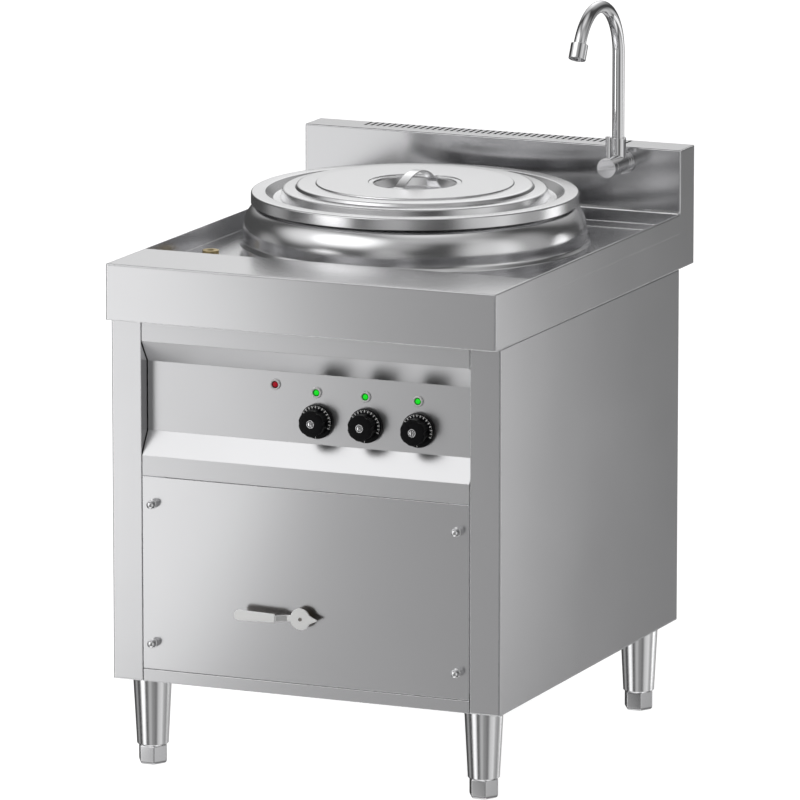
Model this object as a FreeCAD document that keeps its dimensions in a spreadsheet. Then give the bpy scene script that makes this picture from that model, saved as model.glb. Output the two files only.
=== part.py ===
import FreeCAD, Part
import math
import os
import re

import Sketcher

# A floor-standing noodle boiler. The frame has +Z up and the front faces -Y. The origin lies on the floor
# under the middle of the worktop.

# Driving sizes in millimetres, degrees and counts
SIZES = {
    # Worktop, its tray and its rims
    "deck_depth": 140,
    "tray_depth": 30,
    "tray_margin": 29.6,
    "tray_side_margin": 47.4,
    "upstand_height": 11,
    "apron_height": 88.4,
    "rim_width": 2.4,
    "worktop_sheet": 1.2,
    "cheek_corner": 5,
    "support_width": 40,
    "support_margin": 5,
    "support_sheet": 1.5,
    # Splashback and its vent slots
    "splash_height": 103.1,
    "splash_depth": 62,
    "slot_count": 43,
    "slot_pitch": 10.78,
    "slot_width": 4.5,
    "slot_length": 32,
    "slot_margin": 3,
    "slot_row_centre": -6.4,
    # Cabinet
    "cabinet_setback": 19.7,
    "cabinet_back_setback": 64.5,
    "cabinet_sheet": 1.2,
    "stile_width": 50.2,
    "stile_return": 40,
    "flange_width": 25,
    "panel_gap": 1.3,
    "seam_gap": 1,
    "rail_height": 19.4,
    "access_height": 305,
    "panel_return": 12,
    "lower_band": 31.5,
    "lower_slope": 36.5,
    "recess_height": 109.4,
    "upper_slope": 34.1,
    "upper_band": 33.1,
    "recess_depth": 22.8,
    "strip_width": 36,
    "strip_depth": 28,
    "strip_sheet": 1.5,
    "base_rail_width": 60,
    "base_rail_height": 20,
    "vent_count": 10,
    "vent_pitch": 16,
    "vent_width": 6,
    "vent_length": 120,
    "vent_height": 260,
    # Legs and levelling feet
    "leg_height": 110.6,
    "leg_top_radius": 30.5,
    "leg_bottom_radius": 24.8,
    "leg_chamfer": 2.5,
    "leg_inset_side": 45.8,
    "leg_inset_front": 44.8,
    "leg_inset_back": 48.3,
    "foot_height": 30,
    "foot_across_flats": 41.6,
    "foot_round": 5.5,
    "stud_radius": 6,
    "stud_length": 45,
    "stud_room": 2,
    # Drum and pot
    "drum_height": 78,
    "drum_space": 32.7,
    "drum_ring_width": 2.6,
    "drum_sheet": 1.5,
    "drum_seat": 20,
    "bead_height": 13.7,
    "bead_rise": 6.8,
    "bead_width": 5.5,
    "pot_radius": 237,
    "pot_sheet": 1.5,
    # Lid and its strap handle
    "lid_rise": 17.5,
    "lid_sheet": 1.5,
    "lid_overhang": 21,
    "lid_clearance": 2,
    "skirt_depth": 18,
    "trough_depth": 11.5,
    "trough_flare": 12,
    "trough_width": 10.4,
    "trough_inner_run": 5,
    "plateau_height": 5.5,
    "plateau_width": 19.6,
    "crown_run": 3.5,
    "crown_rise": 6,
    "crown_width": 29,
    "disc_thickness": 2.5,
    "cup_radius": 74,
    "ledge_depth": 2,
    "ledge_width": 9.5,
    "cup_depth": 14,
    "cup_run": 15,
    "strap_width": 16,
    "strap_thickness": 2,
    "strap_half_span": 62,
    "strap_tab": 7,
    "strap_rise": 19,
    # Knobs, thermostats and lamps
    "knob_left_x": 12.5,
    "knob_middle_x": 94.5,
    "knob_right_x": 182,
    "knob_height": 36.8,
    "knob_gap": 1,
    "skirt_radius": 27,
    "skirt_thickness": 8,
    "grip_radius": 21,
    "grip_length": 20,
    "flute_count": 6,
    "flute_radius": 8,
    "flute_centre": 27,
    "spindle_radius": 4,
    "spindle_length": 22,
    "thermostat_width": 44,
    "thermostat_height": 40,
    "thermostat_depth": 34,
    "lamp_offset": -2,
    "green_lamp_height": 81,
    "red_lamp_x": -58.8,
    "red_lamp_height": 88.5,
    "bezel_radius": 8.5,
    "bezel_thickness": 3,
    "lens_radius": 6,
    "lens_thickness": 2,
    "lamp_body_length": 24,
    # Access panel fixings
    "nut_side_inset": 20.5,
    "lower_nut_height": 43.5,
    "nut_spacing": 220.5,
    "nut_across_flats": 14,
    "nut_height": 6.5,
    "dome_radius": 6.2,
    "dome_height": 12,
    # Drain: outlet pipe, plug valve and lever
    "drain_x": -1.7,
    "drain_lever_height": 106,
    "drain_drop": 142,
    "drain_rise": 19.8,
    "pipe_radius": 16.85,
    "pipe_wall": 2.8,
    "pipe_entry": 4,
    "valve_setback": 45,
    "valve_width": 44,
    "valve_half_height": 35,
    "plug_radius": 15,
    "plug_half_length": 18,
    "port_radius": 11,
    "stem_radius": 5,
    "stem_hole_gap": 1,
    "valve_neck_radius": 10,
    "outlet_below": 4,
    "lever_standoff": 11.5,
    "lever_thickness": 3,
    "lever_head_radius": 17,
    "lever_pointer": 28,
    "lever_neck_width": 8.5,
    "lever_crank_start": 22,
    "lever_crank_end": 38,
    "lever_crank_rise": 10,
    "lever_grip_end": 107.5,
    "lever_grip_root_width": 13.5,
    "lever_grip_tip_width": 17,
    "lever_corner": 5,
    # Heating elements
    "heater_height": 48,
    "heater_tube_radius": 4.25,
    "heater_half_pitch": 7,
    "heater_spacing": 26,
    "heater_reach": 150,
    "head_radius": 40,
    "head_inside": 8,
    "head_outside": 34,
    # Tap
    "tap_side_inset": 96,
    "tap_drop": 23.4,
    "tap_body_radius": 15.8,
    "tap_body_length": 56,
    "tap_cap_length": 13,
    "tap_cap_gap": 0.3,
    "tap_spigot_radius": 6,
    "tap_spigot_length": 10,
    "tap_flange_radius": 20,
    "tap_flange_thickness": 7,
    "tap_shank_radius": 10.56,
    "tap_shank_length": 12,
    "tap_tail_radius": 10.4,
    "tap_tail_length": 46,
    "tap_nut_across_flats": 30,
    "tap_nut_thickness": 8,
    "service_hole_radius": 18,
    "socket_radius": 12.5,
    "socket_height": 42.3,
    "socket_depth": 22,
    "spout_setback": 26.3,
    "spout_radius": 9.75,
    "spout_centre_height": 177.2,
    "spout_arc_radius": 85.85,
    "spout_arc_angle": 154,
    "aerator_radius": 13.7,
    "aerator_length": 24.5,
    "aerator_recess_radius": 10.5,
    "aerator_recess_depth": 5,
    "rod_radius": 3.85,
    "rod_height": 50.3,
    # Tray drain
    "tray_drain_side_inset": 41.5,
    "tray_drain_from_front": 297,
    "tray_drain_radius": 13,
    "tray_drain_thickness": 4.5,
    "tray_drain_bore": 6,
    "tray_riser_radius": 8.66,
    "tray_tail_radius": 8.5,
    "tray_tail_length": 26,
    "waste_below": 30,
    # Electrical parts
    "plate_length": 200,
    "plate_height": 150,
    "plate_sheet": 1.5,
    "plate_bottom": 330,
    "plate_from_front": 110,
    "contactor_width": 45,
    "contactor_height": 76,
    "contactor_depth": 60,
    "contactor_pitch": 56,
    "terminal_length": 120,
    "terminal_height": 24,
    "terminal_depth": 22,
    "gland_side_inset": 90,
    "gland_height": 90,
    "gland_across_flats": 24,
    "gland_outside": 14,
    "gland_inside": 10,
    "gland_thread_radius": 9.8,
    "gland_bore_radius": 6.5,
    # Clearances
    "joint_gap": 0.1,
    "running_clearance": 0.05,
}

# Places and sizes that follow from the driving sizes
PLACES = {
    "pot_outer": "pot_radius + pot_sheet",
    "drum_radius": "pot_outer + drum_space",
    "drum_mouth": "pot_outer + joint_gap",
    "shoulder_radius": "drum_radius - drum_mouth - drum_ring_width",
    "bead_radius": "drum_radius + bead_width",
    "worktop_depth": "deck_depth + 2 * (bead_radius + tray_margin) + splash_depth",
    "side": "bead_radius + tray_side_margin + rim_width",
    "front": "-worktop_depth / 2",
    "back": "worktop_depth / 2",
    "deck_back": "front + deck_depth",
    "splash_front": "back - splash_depth",
    "drum_y": "(deck_back + splash_front) / 2",
    "cabinet_bottom": "leg_height + foot_height",
    "pan_top": "cabinet_bottom + cabinet_sheet",
    "rail_top": "cabinet_bottom + rail_height",
    "access_bottom": "rail_top + seam_gap",
    "access_top": "access_bottom + access_height",
    "fascia_bottom": "access_top + seam_gap",
    "lip_height": "fascia_bottom + lower_band",
    "recess_bottom": "lip_height + lower_slope",
    "recess_top": "recess_bottom + recess_height",
    "brow_height": "recess_top + upper_slope",
    "worktop_underside": "brow_height + upper_band",
    "rim_height": "worktop_underside + apron_height",
    "tray_floor": "rim_height - tray_depth",
    "seam_height": "tray_floor + upstand_height",
    "splash_top": "rim_height + splash_height",
    "worktop_bend": "2 * worktop_sheet",
    "cabinet_bend": "2 * cabinet_sheet",
    "cabinet_front": "front + cabinet_setback",
    "cabinet_back": "back - cabinet_back_setback",
    "stile_edge": "side - stile_width",
    "panel_side": "stile_edge - panel_gap",
    "recess_face": "cabinet_front + recess_depth",
    "recess_back": "recess_face + cabinet_sheet",
    "leg_x": "side - leg_inset_side",
    "leg_front": "cabinet_front + leg_inset_front",
    "leg_back": "cabinet_back - leg_inset_back",
    "drum_top": "tray_floor + drum_height",
    "bead_bottom": "tray_floor + bead_height",
    "drum_hole_radius": "drum_radius - drum_seat",
    "drum_arc_centre": "drum_radius - shoulder_radius",
    "rim_top": "drum_top + lid_rise",
    "pot_top": "rim_top - lid_sheet",
    "lever_z": "rail_top + drain_lever_height",
    "outlet_z": "lever_z + drain_drop",
    "pot_bottom": "outlet_z - drain_rise - pot_sheet",
    "heater_z": "pot_bottom + heater_height",
    "lid_radius": "pot_radius + lid_overhang",
    "trough_mouth": "pot_radius - lid_clearance",
    "trough_outer": "trough_mouth - trough_flare",
    "trough_inner": "trough_outer - trough_width",
    "plateau_outer": "trough_inner - trough_inner_run",
    "step_outer": "plateau_outer - plateau_width",
    "crown_outer": "step_outer - crown_run",
    "disc_outer": "crown_outer - crown_width",
    "trough_floor": "rim_top - trough_depth",
    "plateau_top": "rim_top + plateau_height",
    "crown_top": "plateau_top + crown_rise",
    "disc_top": "crown_top + disc_thickness",
    "ledge_top": "disc_top - ledge_depth",
    "ledge_inner": "cup_radius - ledge_width",
    "cup_floor": "ledge_top - cup_depth",
    "cup_floor_radius": "ledge_inner - cup_run",
    "strap_radius": "(strap_half_span ^ 2 + strap_rise ^ 2) / (2 * strap_rise)",
    "strap_centre": "ledge_top + strap_rise - strap_radius",
    "knob_z": "recess_bottom + knob_height",
    "green_lamp_z": "recess_bottom + green_lamp_height",
    "red_lamp_z": "recess_bottom + red_lamp_height",
    "nut_x": "stile_edge - nut_side_inset",
    "lower_nut_z": "rail_top + lower_nut_height",
    "upper_nut_z": "lower_nut_z + nut_spacing",
    "valve_y": "cabinet_front + valve_setback",
    "pipe_bore": "pipe_radius - pipe_wall",
    "lever_y": "cabinet_front - lever_standoff",
    "tap_x": "side - tap_side_inset",
    "tap_z": "splash_top - tap_drop",
    "spout_y": "splash_front - spout_setback",
    "socket_top": "tap_z + socket_height",
    "spout_foot": "socket_top - socket_depth",
    "spout_centre_z": "tap_z + spout_centre_height",
    "tray_drain_x": "-(side - tray_drain_side_inset)",
    "tray_drain_y": "front + tray_drain_from_front",
    "gland_x": "side - gland_side_inset",
    "gland_z": "cabinet_bottom + gland_height",
}

doc = FreeCAD.newDocument("NoodleBoiler")
sheet = doc.addObject("Spreadsheet::Sheet", "Sizes")
for row, (size_name, size_value) in enumerate(SIZES.items(), 1):
    sheet.set(f"A{row}", size_name)
    sheet.set(f"B{row}", str(size_value))
    sheet.setAlias(f"B{row}", size_name)
doc.recompute()
pieces = []


def formula(text):
    """Turn plain size and place names into an expression on the sheet's cells."""

    def swap(match):
        word = match.group(0)
        if word in PLACES:
            return "(" + formula(PLACES[word]) + ")"
        return "Sizes." + word if word in SIZES else word

    return re.sub(r"[a-z]+(_[a-z]+)*", swap, text)


def value(text):
    return float(sheet.evalExpression(formula(text)))


def bind(thing, field, text):
    thing.setExpression(field, formula(text))


def new_piece(kind, name):
    piece = doc.addObject(kind, name)
    piece.Label = name
    pieces.append(piece)
    return piece


def new_body(name, x="0", y="0", z="0"):
    body = new_piece("PartDesign::Body", name)
    for axis, text in (("x", x), ("y", y), ("z", z)):
        bind(body, f"Placement.Base.{axis}", text)
    return body


def datum(body, role):
    return next(feature for feature in body.Origin.OriginFeatures if feature.Role == role)


def new_sketch(body, role, lift="0"):
    sketch = body.newObject("Sketcher::SketchObject", body.Label + "_sketch")
    sketch.AttachmentSupport = [(datum(body, role), "")]
    sketch.MapMode = "FlatFace"
    bind(sketch, "AttachmentOffset.Base.z", lift)
    return sketch


def fix(sketch, kind, line, point, text):
    place = sketch.addConstraint(Sketcher.Constraint(kind, -1, 1, line, point, value(text)))
    bind(sketch, f"Constraints[{place}]", text)


def outline(sketch, corners):
    """Add a closed loop of straight lines whose corners are pairs of formulas."""
    first = sketch.GeometryCount
    count = len(corners)
    spots = [FreeCAD.Vector(value(x), value(y), 0) for x, y in corners]
    for i in range(count):
        sketch.addGeometry(Part.LineSegment(spots[i], spots[(i + 1) % count]), False)
    for i in range(count):
        sketch.addConstraint(Sketcher.Constraint("Coincident", first + i, 2, first + (i + 1) % count, 1))
    for i, (x, y) in enumerate(corners):
        fix(sketch, "DistanceX", first + i, 1, x)
        fix(sketch, "DistanceY", first + i, 1, y)


def line(sketch, points):
    """Add an open run of straight lines through points that are pairs of formulas."""
    spots = [FreeCAD.Vector(value(x), value(y), 0) for x, y in points]
    for i in range(len(spots) - 1):
        sketch.addGeometry(Part.LineSegment(spots[i], spots[i + 1]), False)
        if i:
            sketch.addConstraint(Sketcher.Constraint("Coincident", i - 1, 2, i, 1))
    for i, (x, y) in enumerate(points):
        place = (i, 1) if i < len(points) - 1 else (i - 1, 2)
        fix(sketch, "DistanceX", *place, x)
        fix(sketch, "DistanceY", *place, y)


def rectangle(sketch, left, low, right, high):
    outline(sketch, [(left, low), (right, low), (right, high), (left, high)])


def circle(sketch, radius, x="0", y="0"):
    line = sketch.GeometryCount
    centre = FreeCAD.Vector(value(x), value(y), 0)
    sketch.addGeometry(Part.Circle(centre, FreeCAD.Vector(0, 0, 1), value(radius)), False)
    fix(sketch, "DistanceX", line, 3, x)
    fix(sketch, "DistanceY", line, 3, y)
    place = sketch.addConstraint(Sketcher.Constraint("Radius", line, value(radius)))
    bind(sketch, f"Constraints[{place}]", radius)


def hexagon(sketch, across_flats, x="0", y="0"):
    """Add a hexagon with a corner on each side in X."""
    reach = f"({across_flats}) / sqrt(3)"
    half = f"({across_flats}) / 2"
    outline(sketch, [
        (f"{x} + {reach}", y),
        (f"{x} + {reach} / 2", f"{y} + {half}"),
        (f"{x} - {reach} / 2", f"{y} + {half}"),
        (f"{x} - {reach}", y),
        (f"{x} - {reach} / 2", f"{y} - {half}"),
        (f"{x} + {reach} / 2", f"{y} - {half}"),
    ])


def pad(body, sketch, length, both=False, back=False):
    """Pad along the sketch's normal, against it with back, or half each way with both."""
    feature = body.newObject("PartDesign::Pad", "Pad")
    feature.Profile = sketch
    bind(feature, "Length", length)
    feature.SideType = "Symmetric" if both else "One side"
    feature.Reversed = back
    return feature


def pocket(body, sketch, length, both=False, ahead=False):
    """Cut against the sketch's normal, along it with ahead, or half each way with both."""
    feature = body.newObject("PartDesign::Pocket", "Pocket")
    feature.Profile = sketch
    bind(feature, "Length", length)
    feature.SideType = "Symmetric" if both else "One side"
    feature.Reversed = ahead
    return feature


def turn(body, sketch, axis, angle="360", kind="PartDesign::Revolution"):
    feature = body.newObject(kind, "Turned")
    feature.Profile = sketch
    feature.ReferenceAxis = (datum(body, axis), [""])
    bind(feature, "Angle", angle)
    return feature


def mitred_pipe(body, kind, section, path):
    pipe = body.newObject(kind, "Pipe")
    pipe.Profile = section
    pipe.Spine = (path, [])
    pipe.Transition = "Right corner"
    return pipe


def turned_ring(body, corners, axis="Z_Axis", plane="XZ_Plane"):
    """Turn a closed profile of radius and height pairs about the body's axis."""
    sketch = new_sketch(body, plane)
    outline(sketch, corners)
    return turn(body, sketch, axis)


def round_edges(body, base, radius, chosen):
    doc.recompute()
    names = [f"Edge{i}" for i, edge in enumerate(base.Shape.Edges, 1) if chosen(edge)]
    feature = body.newObject("PartDesign::Fillet", "Fillet")
    feature.Base = (base, names)
    bind(feature, "Radius", radius)
    return feature


def row(body, originals, axis, length, count):
    feature = body.newObject("PartDesign::LinearPattern", "Row")
    feature.Originals = originals
    feature.Direction = (datum(body, axis), [""])
    bind(feature, "Length", length)
    bind(feature, "Occurrences", count)
    body.Tip = feature
    return feature


def mirrored(body, originals, plane="YZ_Plane"):
    feature = body.newObject("PartDesign::Mirrored", "Mirrored")
    feature.Originals = originals
    feature.MirrorPlane = (datum(body, plane), [""])
    body.Tip = feature
    return feature


def lies_at(edge, axis, place):
    """Say whether every end of an edge has this coordinate."""
    return all(abs(getattr(vertex.Point, axis) - place) < 1e-4 for vertex in edge.Vertexes)


def runs_along(edge, axis):
    ends = [vertex.Point for vertex in edge.Vertexes]
    if len(ends) != 2:
        return False
    step = ends[1] - ends[0]
    return abs(abs(getattr(step, axis)) - step.Length) < 1e-6


# Worktop: one welded sheet piece with the front deck, the sunk tray, the aprons and the ends of the splashback
def make_worktop():
    body = new_body("worktop")
    profile = new_sketch(body, "YZ_Plane")
    outline(profile, [
        ("front", "worktop_underside"),
        ("front", "rim_height"),
        ("splash_front", "rim_height"),
        ("splash_front", "splash_top"),
        ("back", "splash_top"),
        ("back", "worktop_underside"),
    ])
    block = pad(body, profile, "2 * side", both=True)
    inside_corner = round_edges(body, block, "cheek_corner", lambda edge: (
        lies_at(edge, "y", value("splash_front")) and lies_at(edge, "z", value("rim_height"))
    ))
    low = value("worktop_underside")
    round_edges(body, inside_corner, "worktop_bend", lambda edge: (
        not lies_at(edge, "z", low)
        and (lies_at(edge, "x", value("side")) or lies_at(edge, "x", -value("side"))
             or (lies_at(edge, "y", value("front")) and lies_at(edge, "z", value("rim_height"))))
    ))
    hollow = new_sketch(body, "YZ_Plane")
    outline(hollow, [
        ("front + worktop_sheet", "worktop_underside"),
        ("front + worktop_sheet", "rim_height - worktop_sheet"),
        ("deck_back - worktop_sheet", "rim_height - worktop_sheet"),
        ("deck_back - worktop_sheet", "tray_floor - worktop_sheet"),
        ("splash_front + worktop_sheet", "tray_floor - worktop_sheet"),
        ("splash_front + worktop_sheet", "seam_height"),
        ("back - worktop_sheet", "seam_height"),
        ("back - worktop_sheet", "worktop_underside"),
    ])
    pocket(body, hollow, "2 * (side - worktop_sheet)", both=True)
    tray = new_sketch(body, "YZ_Plane")
    rectangle(tray, "deck_back", "tray_floor", "splash_front", "rim_height")
    pocket(body, tray, "2 * (side - rim_width)", both=True)
    chimney = new_sketch(body, "YZ_Plane")
    outline(chimney, [
        ("splash_front", "seam_height"),
        ("splash_front", "splash_top"),
        ("back", "splash_top"),
        ("back", "rim_height"),
        ("back - worktop_sheet", "rim_height"),
        ("back - worktop_sheet", "seam_height"),
    ])
    pocket(body, chimney, "2 * (side - worktop_sheet)", both=True)
    holes = new_sketch(body, "XY_Plane", "tray_floor")
    circle(holes, "drum_hole_radius", "0", "drum_y")
    circle(holes, "tray_riser_radius + joint_gap", "tray_drain_x", "tray_drain_y")
    pocket(body, holes, "2 * worktop_sheet")


def make_splashback():
    body = new_body("splashback")
    profile = new_sketch(body, "YZ_Plane")
    outline(profile, [
        ("splash_front", "seam_height"),
        ("splash_front", "splash_top"),
        ("back", "splash_top"),
        ("back", "rim_height"),
        ("back - worktop_sheet", "rim_height"),
        ("back - worktop_sheet", "splash_top - worktop_sheet"),
        ("splash_front + worktop_sheet", "splash_top - worktop_sheet"),
        ("splash_front + worktop_sheet", "seam_height"),
    ])
    folded = pad(body, profile, "2 * (side - worktop_sheet - joint_gap)", both=True)
    round_edges(body, folded, "worktop_bend", lambda edge: (
        lies_at(edge, "z", value("splash_top")) and runs_along(edge, "x")
    ))
    slot = new_sketch(body, "XY_Plane", "splash_top")
    first = "slot_row_centre - (slot_count - 1) / 2 * slot_pitch"
    rectangle(slot, first + " - slot_width / 2", "back - slot_margin - slot_length",
              first + " + slot_width / 2", "back - slot_margin")
    cut = pocket(body, slot, "2 * worktop_sheet")
    row(body, [cut], "X_Axis", "(slot_count - 1) * slot_pitch", "slot_count")
    hole = new_sketch(body, "XZ_Plane", "-splash_front")
    circle(hole, "tap_shank_radius + joint_gap", "tap_x", "tap_z")
    pocket(body, hole, "2 * worktop_sheet")
    service_hole = new_sketch(body, "XZ_Plane", "-(back - 2 * worktop_sheet)")
    circle(service_hole, "service_hole_radius", "tap_x", "tap_z")
    pocket(body, service_hole, "3 * worktop_sheet")


def channel(sketch, centre, width, low, high, thickness):
    """Add the section of a channel that is open below."""
    left = f"{centre} - {width} / 2"
    right = f"{centre} + {width} / 2"
    outline(sketch, [
        (left, low),
        (left, high),
        (right, high),
        (right, low),
        (f"{right} - {thickness}", low),
        (f"{right} - {thickness}", f"{high} - {thickness}"),
        (f"{left} + {thickness}", f"{high} - {thickness}"),
        (f"{left} + {thickness}", low),
    ])


def make_tray_supports():
    """Two channels across the cabinet's top flanges, under the tray."""
    body = new_body("tray_supports")
    profile = new_sketch(body, "YZ_Plane")
    for centre in (
        "deck_back + support_margin + support_width / 2",
        "splash_front - support_margin - support_width / 2",
    ):
        channel(profile, centre, "support_width", "worktop_underside", "tray_floor - worktop_sheet",
                "support_sheet")
    pad(body, profile, "2 * (side - worktop_sheet - joint_gap)", both=True)


# Cabinet
def make_side_panels():
    """Each side is one sheet that folds into the front stile, the back flange and the top flange."""
    body = new_body("side_panel_right")
    profile = new_sketch(body, "XY_Plane", "pan_top")
    outline(profile, [
        ("stile_edge", "cabinet_front"),
        ("side", "cabinet_front"),
        ("side", "cabinet_back"),
        ("side - flange_width", "cabinet_back"),
        ("side - flange_width", "cabinet_back - cabinet_sheet"),
        ("side - cabinet_sheet", "cabinet_back - cabinet_sheet"),
        ("side - cabinet_sheet", "cabinet_front + cabinet_sheet"),
        ("stile_edge + cabinet_sheet", "cabinet_front + cabinet_sheet"),
        ("stile_edge + cabinet_sheet", "cabinet_front + stile_return"),
        ("stile_edge", "cabinet_front + stile_return"),
    ])
    pad(body, profile, "worktop_underside - pan_top")
    flange = new_sketch(body, "XY_Plane", "worktop_underside")
    rectangle(flange, "side - flange_width", "cabinet_front + cabinet_sheet",
              "side - cabinet_sheet", "cabinet_back - cabinet_sheet")
    panel = pad(body, flange, "cabinet_sheet", back=True)
    round_edges(body, panel, "cabinet_bend", lambda edge: (
        lies_at(edge, "x", value("side"))
        and not lies_at(edge, "y", value("cabinet_back"))
        and not lies_at(edge, "z", value("pan_top"))
    ))
    left = new_piece("Part::Mirroring", "side_panel_left")
    left.Source = body
    left.Normal = FreeCAD.Vector(1, 0, 0)


def make_back_panel():
    body = new_body("back_panel")
    sheet_face = new_sketch(body, "XZ_Plane", "-(cabinet_back - cabinet_sheet)")
    rectangle(sheet_face, "-(side - cabinet_sheet - joint_gap)", "pan_top",
              "side - cabinet_sheet - joint_gap", "worktop_underside - cabinet_sheet")
    circle(sheet_face, "gland_thread_radius + joint_gap", "gland_x", "gland_z")
    pad(body, sheet_face, "cabinet_sheet")
    vent = new_sketch(body, "XZ_Plane", "-(cabinet_back - 2 * cabinet_sheet)")
    rectangle(vent, "-vent_length / 2", "cabinet_bottom + vent_height",
              "vent_length / 2", "cabinet_bottom + vent_height + vent_width")
    cut = pocket(body, vent, "2 * cabinet_sheet")
    row(body, [cut], "Z_Axis", "(vent_count - 1) * vent_pitch", "vent_count")


def make_base_pan():
    body = new_body("base_pan")
    floor = new_sketch(body, "XY_Plane", "cabinet_bottom")
    rectangle(floor, "-side", "cabinet_front", "side", "cabinet_back")
    circle(floor, "pipe_radius + joint_gap", "drain_x", "valve_y")
    circle(floor, "tray_riser_radius + joint_gap", "tray_drain_x", "tray_drain_y")
    pad(body, floor, "cabinet_sheet")
    rail = new_sketch(body, "XZ_Plane", "-cabinet_front")
    rectangle(rail, "-panel_side", "cabinet_bottom", "panel_side", "rail_top")
    pad(body, rail, "cabinet_sheet", back=True)


def make_base_rails():
    """Two channels on the floor of the cabinet, over the legs."""
    body = new_body("base_rails")
    profile = new_sketch(body, "YZ_Plane")
    for centre in ("leg_front + base_rail_width / 2 + valve_width / 2", "leg_back"):
        channel(profile, centre, "base_rail_width", "pan_top", "pan_top + base_rail_height", "strip_sheet")
    pad(body, profile, "2 * (side - cabinet_sheet - joint_gap)", both=True)


def make_fascia():
    """The control fascia: one sheet with a sunk field for the knobs and lamps."""
    body = new_body("control_fascia")
    profile = new_sketch(body, "YZ_Plane")
    outline(profile, [
        ("cabinet_front", "fascia_bottom"),
        ("cabinet_front", "lip_height"),
        ("recess_face", "recess_bottom"),
        ("recess_face", "recess_top"),
        ("cabinet_front", "brow_height"),
        ("cabinet_front", "worktop_underside"),
        ("cabinet_front + flange_width", "worktop_underside"),
        ("cabinet_front + flange_width", "worktop_underside - cabinet_sheet"),
        ("cabinet_front + cabinet_sheet", "worktop_underside - cabinet_sheet"),
        ("cabinet_front + cabinet_sheet", "brow_height"),
        ("recess_back", "recess_top"),
        ("recess_back", "recess_bottom"),
        ("cabinet_front + cabinet_sheet", "lip_height"),
        ("cabinet_front + cabinet_sheet", "fascia_bottom"),
    ])
    pad(body, profile, "2 * panel_side", both=True)
    hem = new_sketch(body, "XY_Plane", "fascia_bottom")
    rectangle(hem, "-(stile_edge - strip_width - seam_gap)", "cabinet_front",
              "stile_edge - strip_width - seam_gap", "cabinet_front + panel_return")
    pad(body, hem, "cabinet_sheet")
    holes = new_sketch(body, "XZ_Plane", "-recess_face")
    for knob_x in ("knob_left_x", "knob_middle_x", "knob_right_x"):
        circle(holes, "spindle_radius + seam_gap", knob_x, "knob_z")
        circle(holes, "lens_radius + joint_gap", knob_x + " + lamp_offset", "green_lamp_z")
    circle(holes, "lens_radius + joint_gap", "red_lamp_x", "red_lamp_z")
    pocket(body, holes, "2 * cabinet_sheet")


def make_access_panel():
    body = new_body("access_panel")
    face = new_sketch(body, "XZ_Plane", "-cabinet_front")
    rectangle(face, "-panel_side", "access_bottom", "panel_side", "access_top")
    circle(face, "stem_radius + stem_hole_gap", "drain_x", "lever_z")
    pad(body, face, "cabinet_sheet", back=True)
    for height, back in (("access_bottom", False), ("access_top", True)):
        hem = new_sketch(body, "XY_Plane", height)
        rectangle(hem, "-(stile_edge - strip_width - seam_gap)", "cabinet_front",
                  "stile_edge - strip_width - seam_gap", "cabinet_front + panel_return")
        pad(body, hem, "cabinet_sheet", back=back)


def make_strips():
    """Angle strips welded inside the stiles carry the fascia and the access panel."""
    body = new_body("mounting_strips")
    made = []
    for low, high in (
        ("rail_top + panel_return", "lip_height - panel_return"),
        ("brow_height + seam_gap", "worktop_underside - panel_return"),
    ):
        profile = new_sketch(body, "XY_Plane", low)
        outline(profile, [
            ("stile_edge", "cabinet_front + cabinet_sheet"),
            ("stile_edge", "cabinet_front + cabinet_sheet + strip_depth"),
            ("stile_edge - strip_sheet", "cabinet_front + cabinet_sheet + strip_depth"),
            ("stile_edge - strip_sheet", "cabinet_front + cabinet_sheet + strip_sheet"),
            ("stile_edge - strip_width", "cabinet_front + cabinet_sheet + strip_sheet"),
            ("stile_edge - strip_width", "cabinet_front + cabinet_sheet"),
        ])
        made.append(pad(body, profile, f"{high} - ({low})"))
    mirrored(body, made)


def make_cap_nuts():
    body = new_body("cap_nuts", "-nut_x", "cabinet_front", "lower_nut_z")
    base = new_sketch(body, "XZ_Plane")
    hexagon(base, "nut_across_flats")
    made = [pad(body, base, "nut_height")]
    dome = new_sketch(body, "XZ_Plane", "nut_height")
    circle(dome, "dome_radius")
    cap = pad(body, dome, "dome_height")
    made.append(cap)
    grid = row(body, made, "X_Axis", "2 * nut_x", "2")
    grid.Direction2 = (datum(body, "Z_Axis"), [""])
    bind(grid, "Length2", "nut_spacing")
    grid.Occurrences2 = 2


# Legs and levelling feet
def make_legs():
    body = new_body("legs", "-leg_x", "leg_front", "0")
    bore = "stud_radius + running_clearance"
    bore_top = "foot_height + stud_length + stud_room"
    leg = turned_ring(body, [
        ("0", bore_top),
        (bore, bore_top),
        (bore, "foot_height"),
        ("leg_bottom_radius - leg_chamfer", "foot_height"),
        ("leg_bottom_radius", "foot_height + leg_chamfer"),
        ("leg_top_radius", "cabinet_bottom"),
        ("0", "cabinet_bottom"),
    ])
    grid = row(body, [leg], "X_Axis", "2 * leg_x", "2")
    grid.Direction2 = (datum(body, "Y_Axis"), [""])
    bind(grid, "Length2", "leg_back - leg_front")
    grid.Occurrences2 = 2


def make_foot(name, x, y):
    body = new_body(name, x, y, "0")
    levels = []
    for height, inset in (("0", "foot_round"), ("foot_round * 0.3", "foot_round * 0.3"), ("foot_round", "0"),
                          ("foot_height", "0")):
        level = new_sketch(body, "XY_Plane", height)
        hexagon(level, f"foot_across_flats - 2 * {inset}")
        levels.append(level)
    hexagons = body.newObject("PartDesign::AdditiveLoft", "Loft")
    hexagons.Profile = levels[0]
    hexagons.Sections = levels[1:]
    hexagons.Ruled = True
    stud = new_sketch(body, "XY_Plane", "foot_height")
    circle(stud, "stud_radius")
    pad(body, stud, "stud_length")


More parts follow.
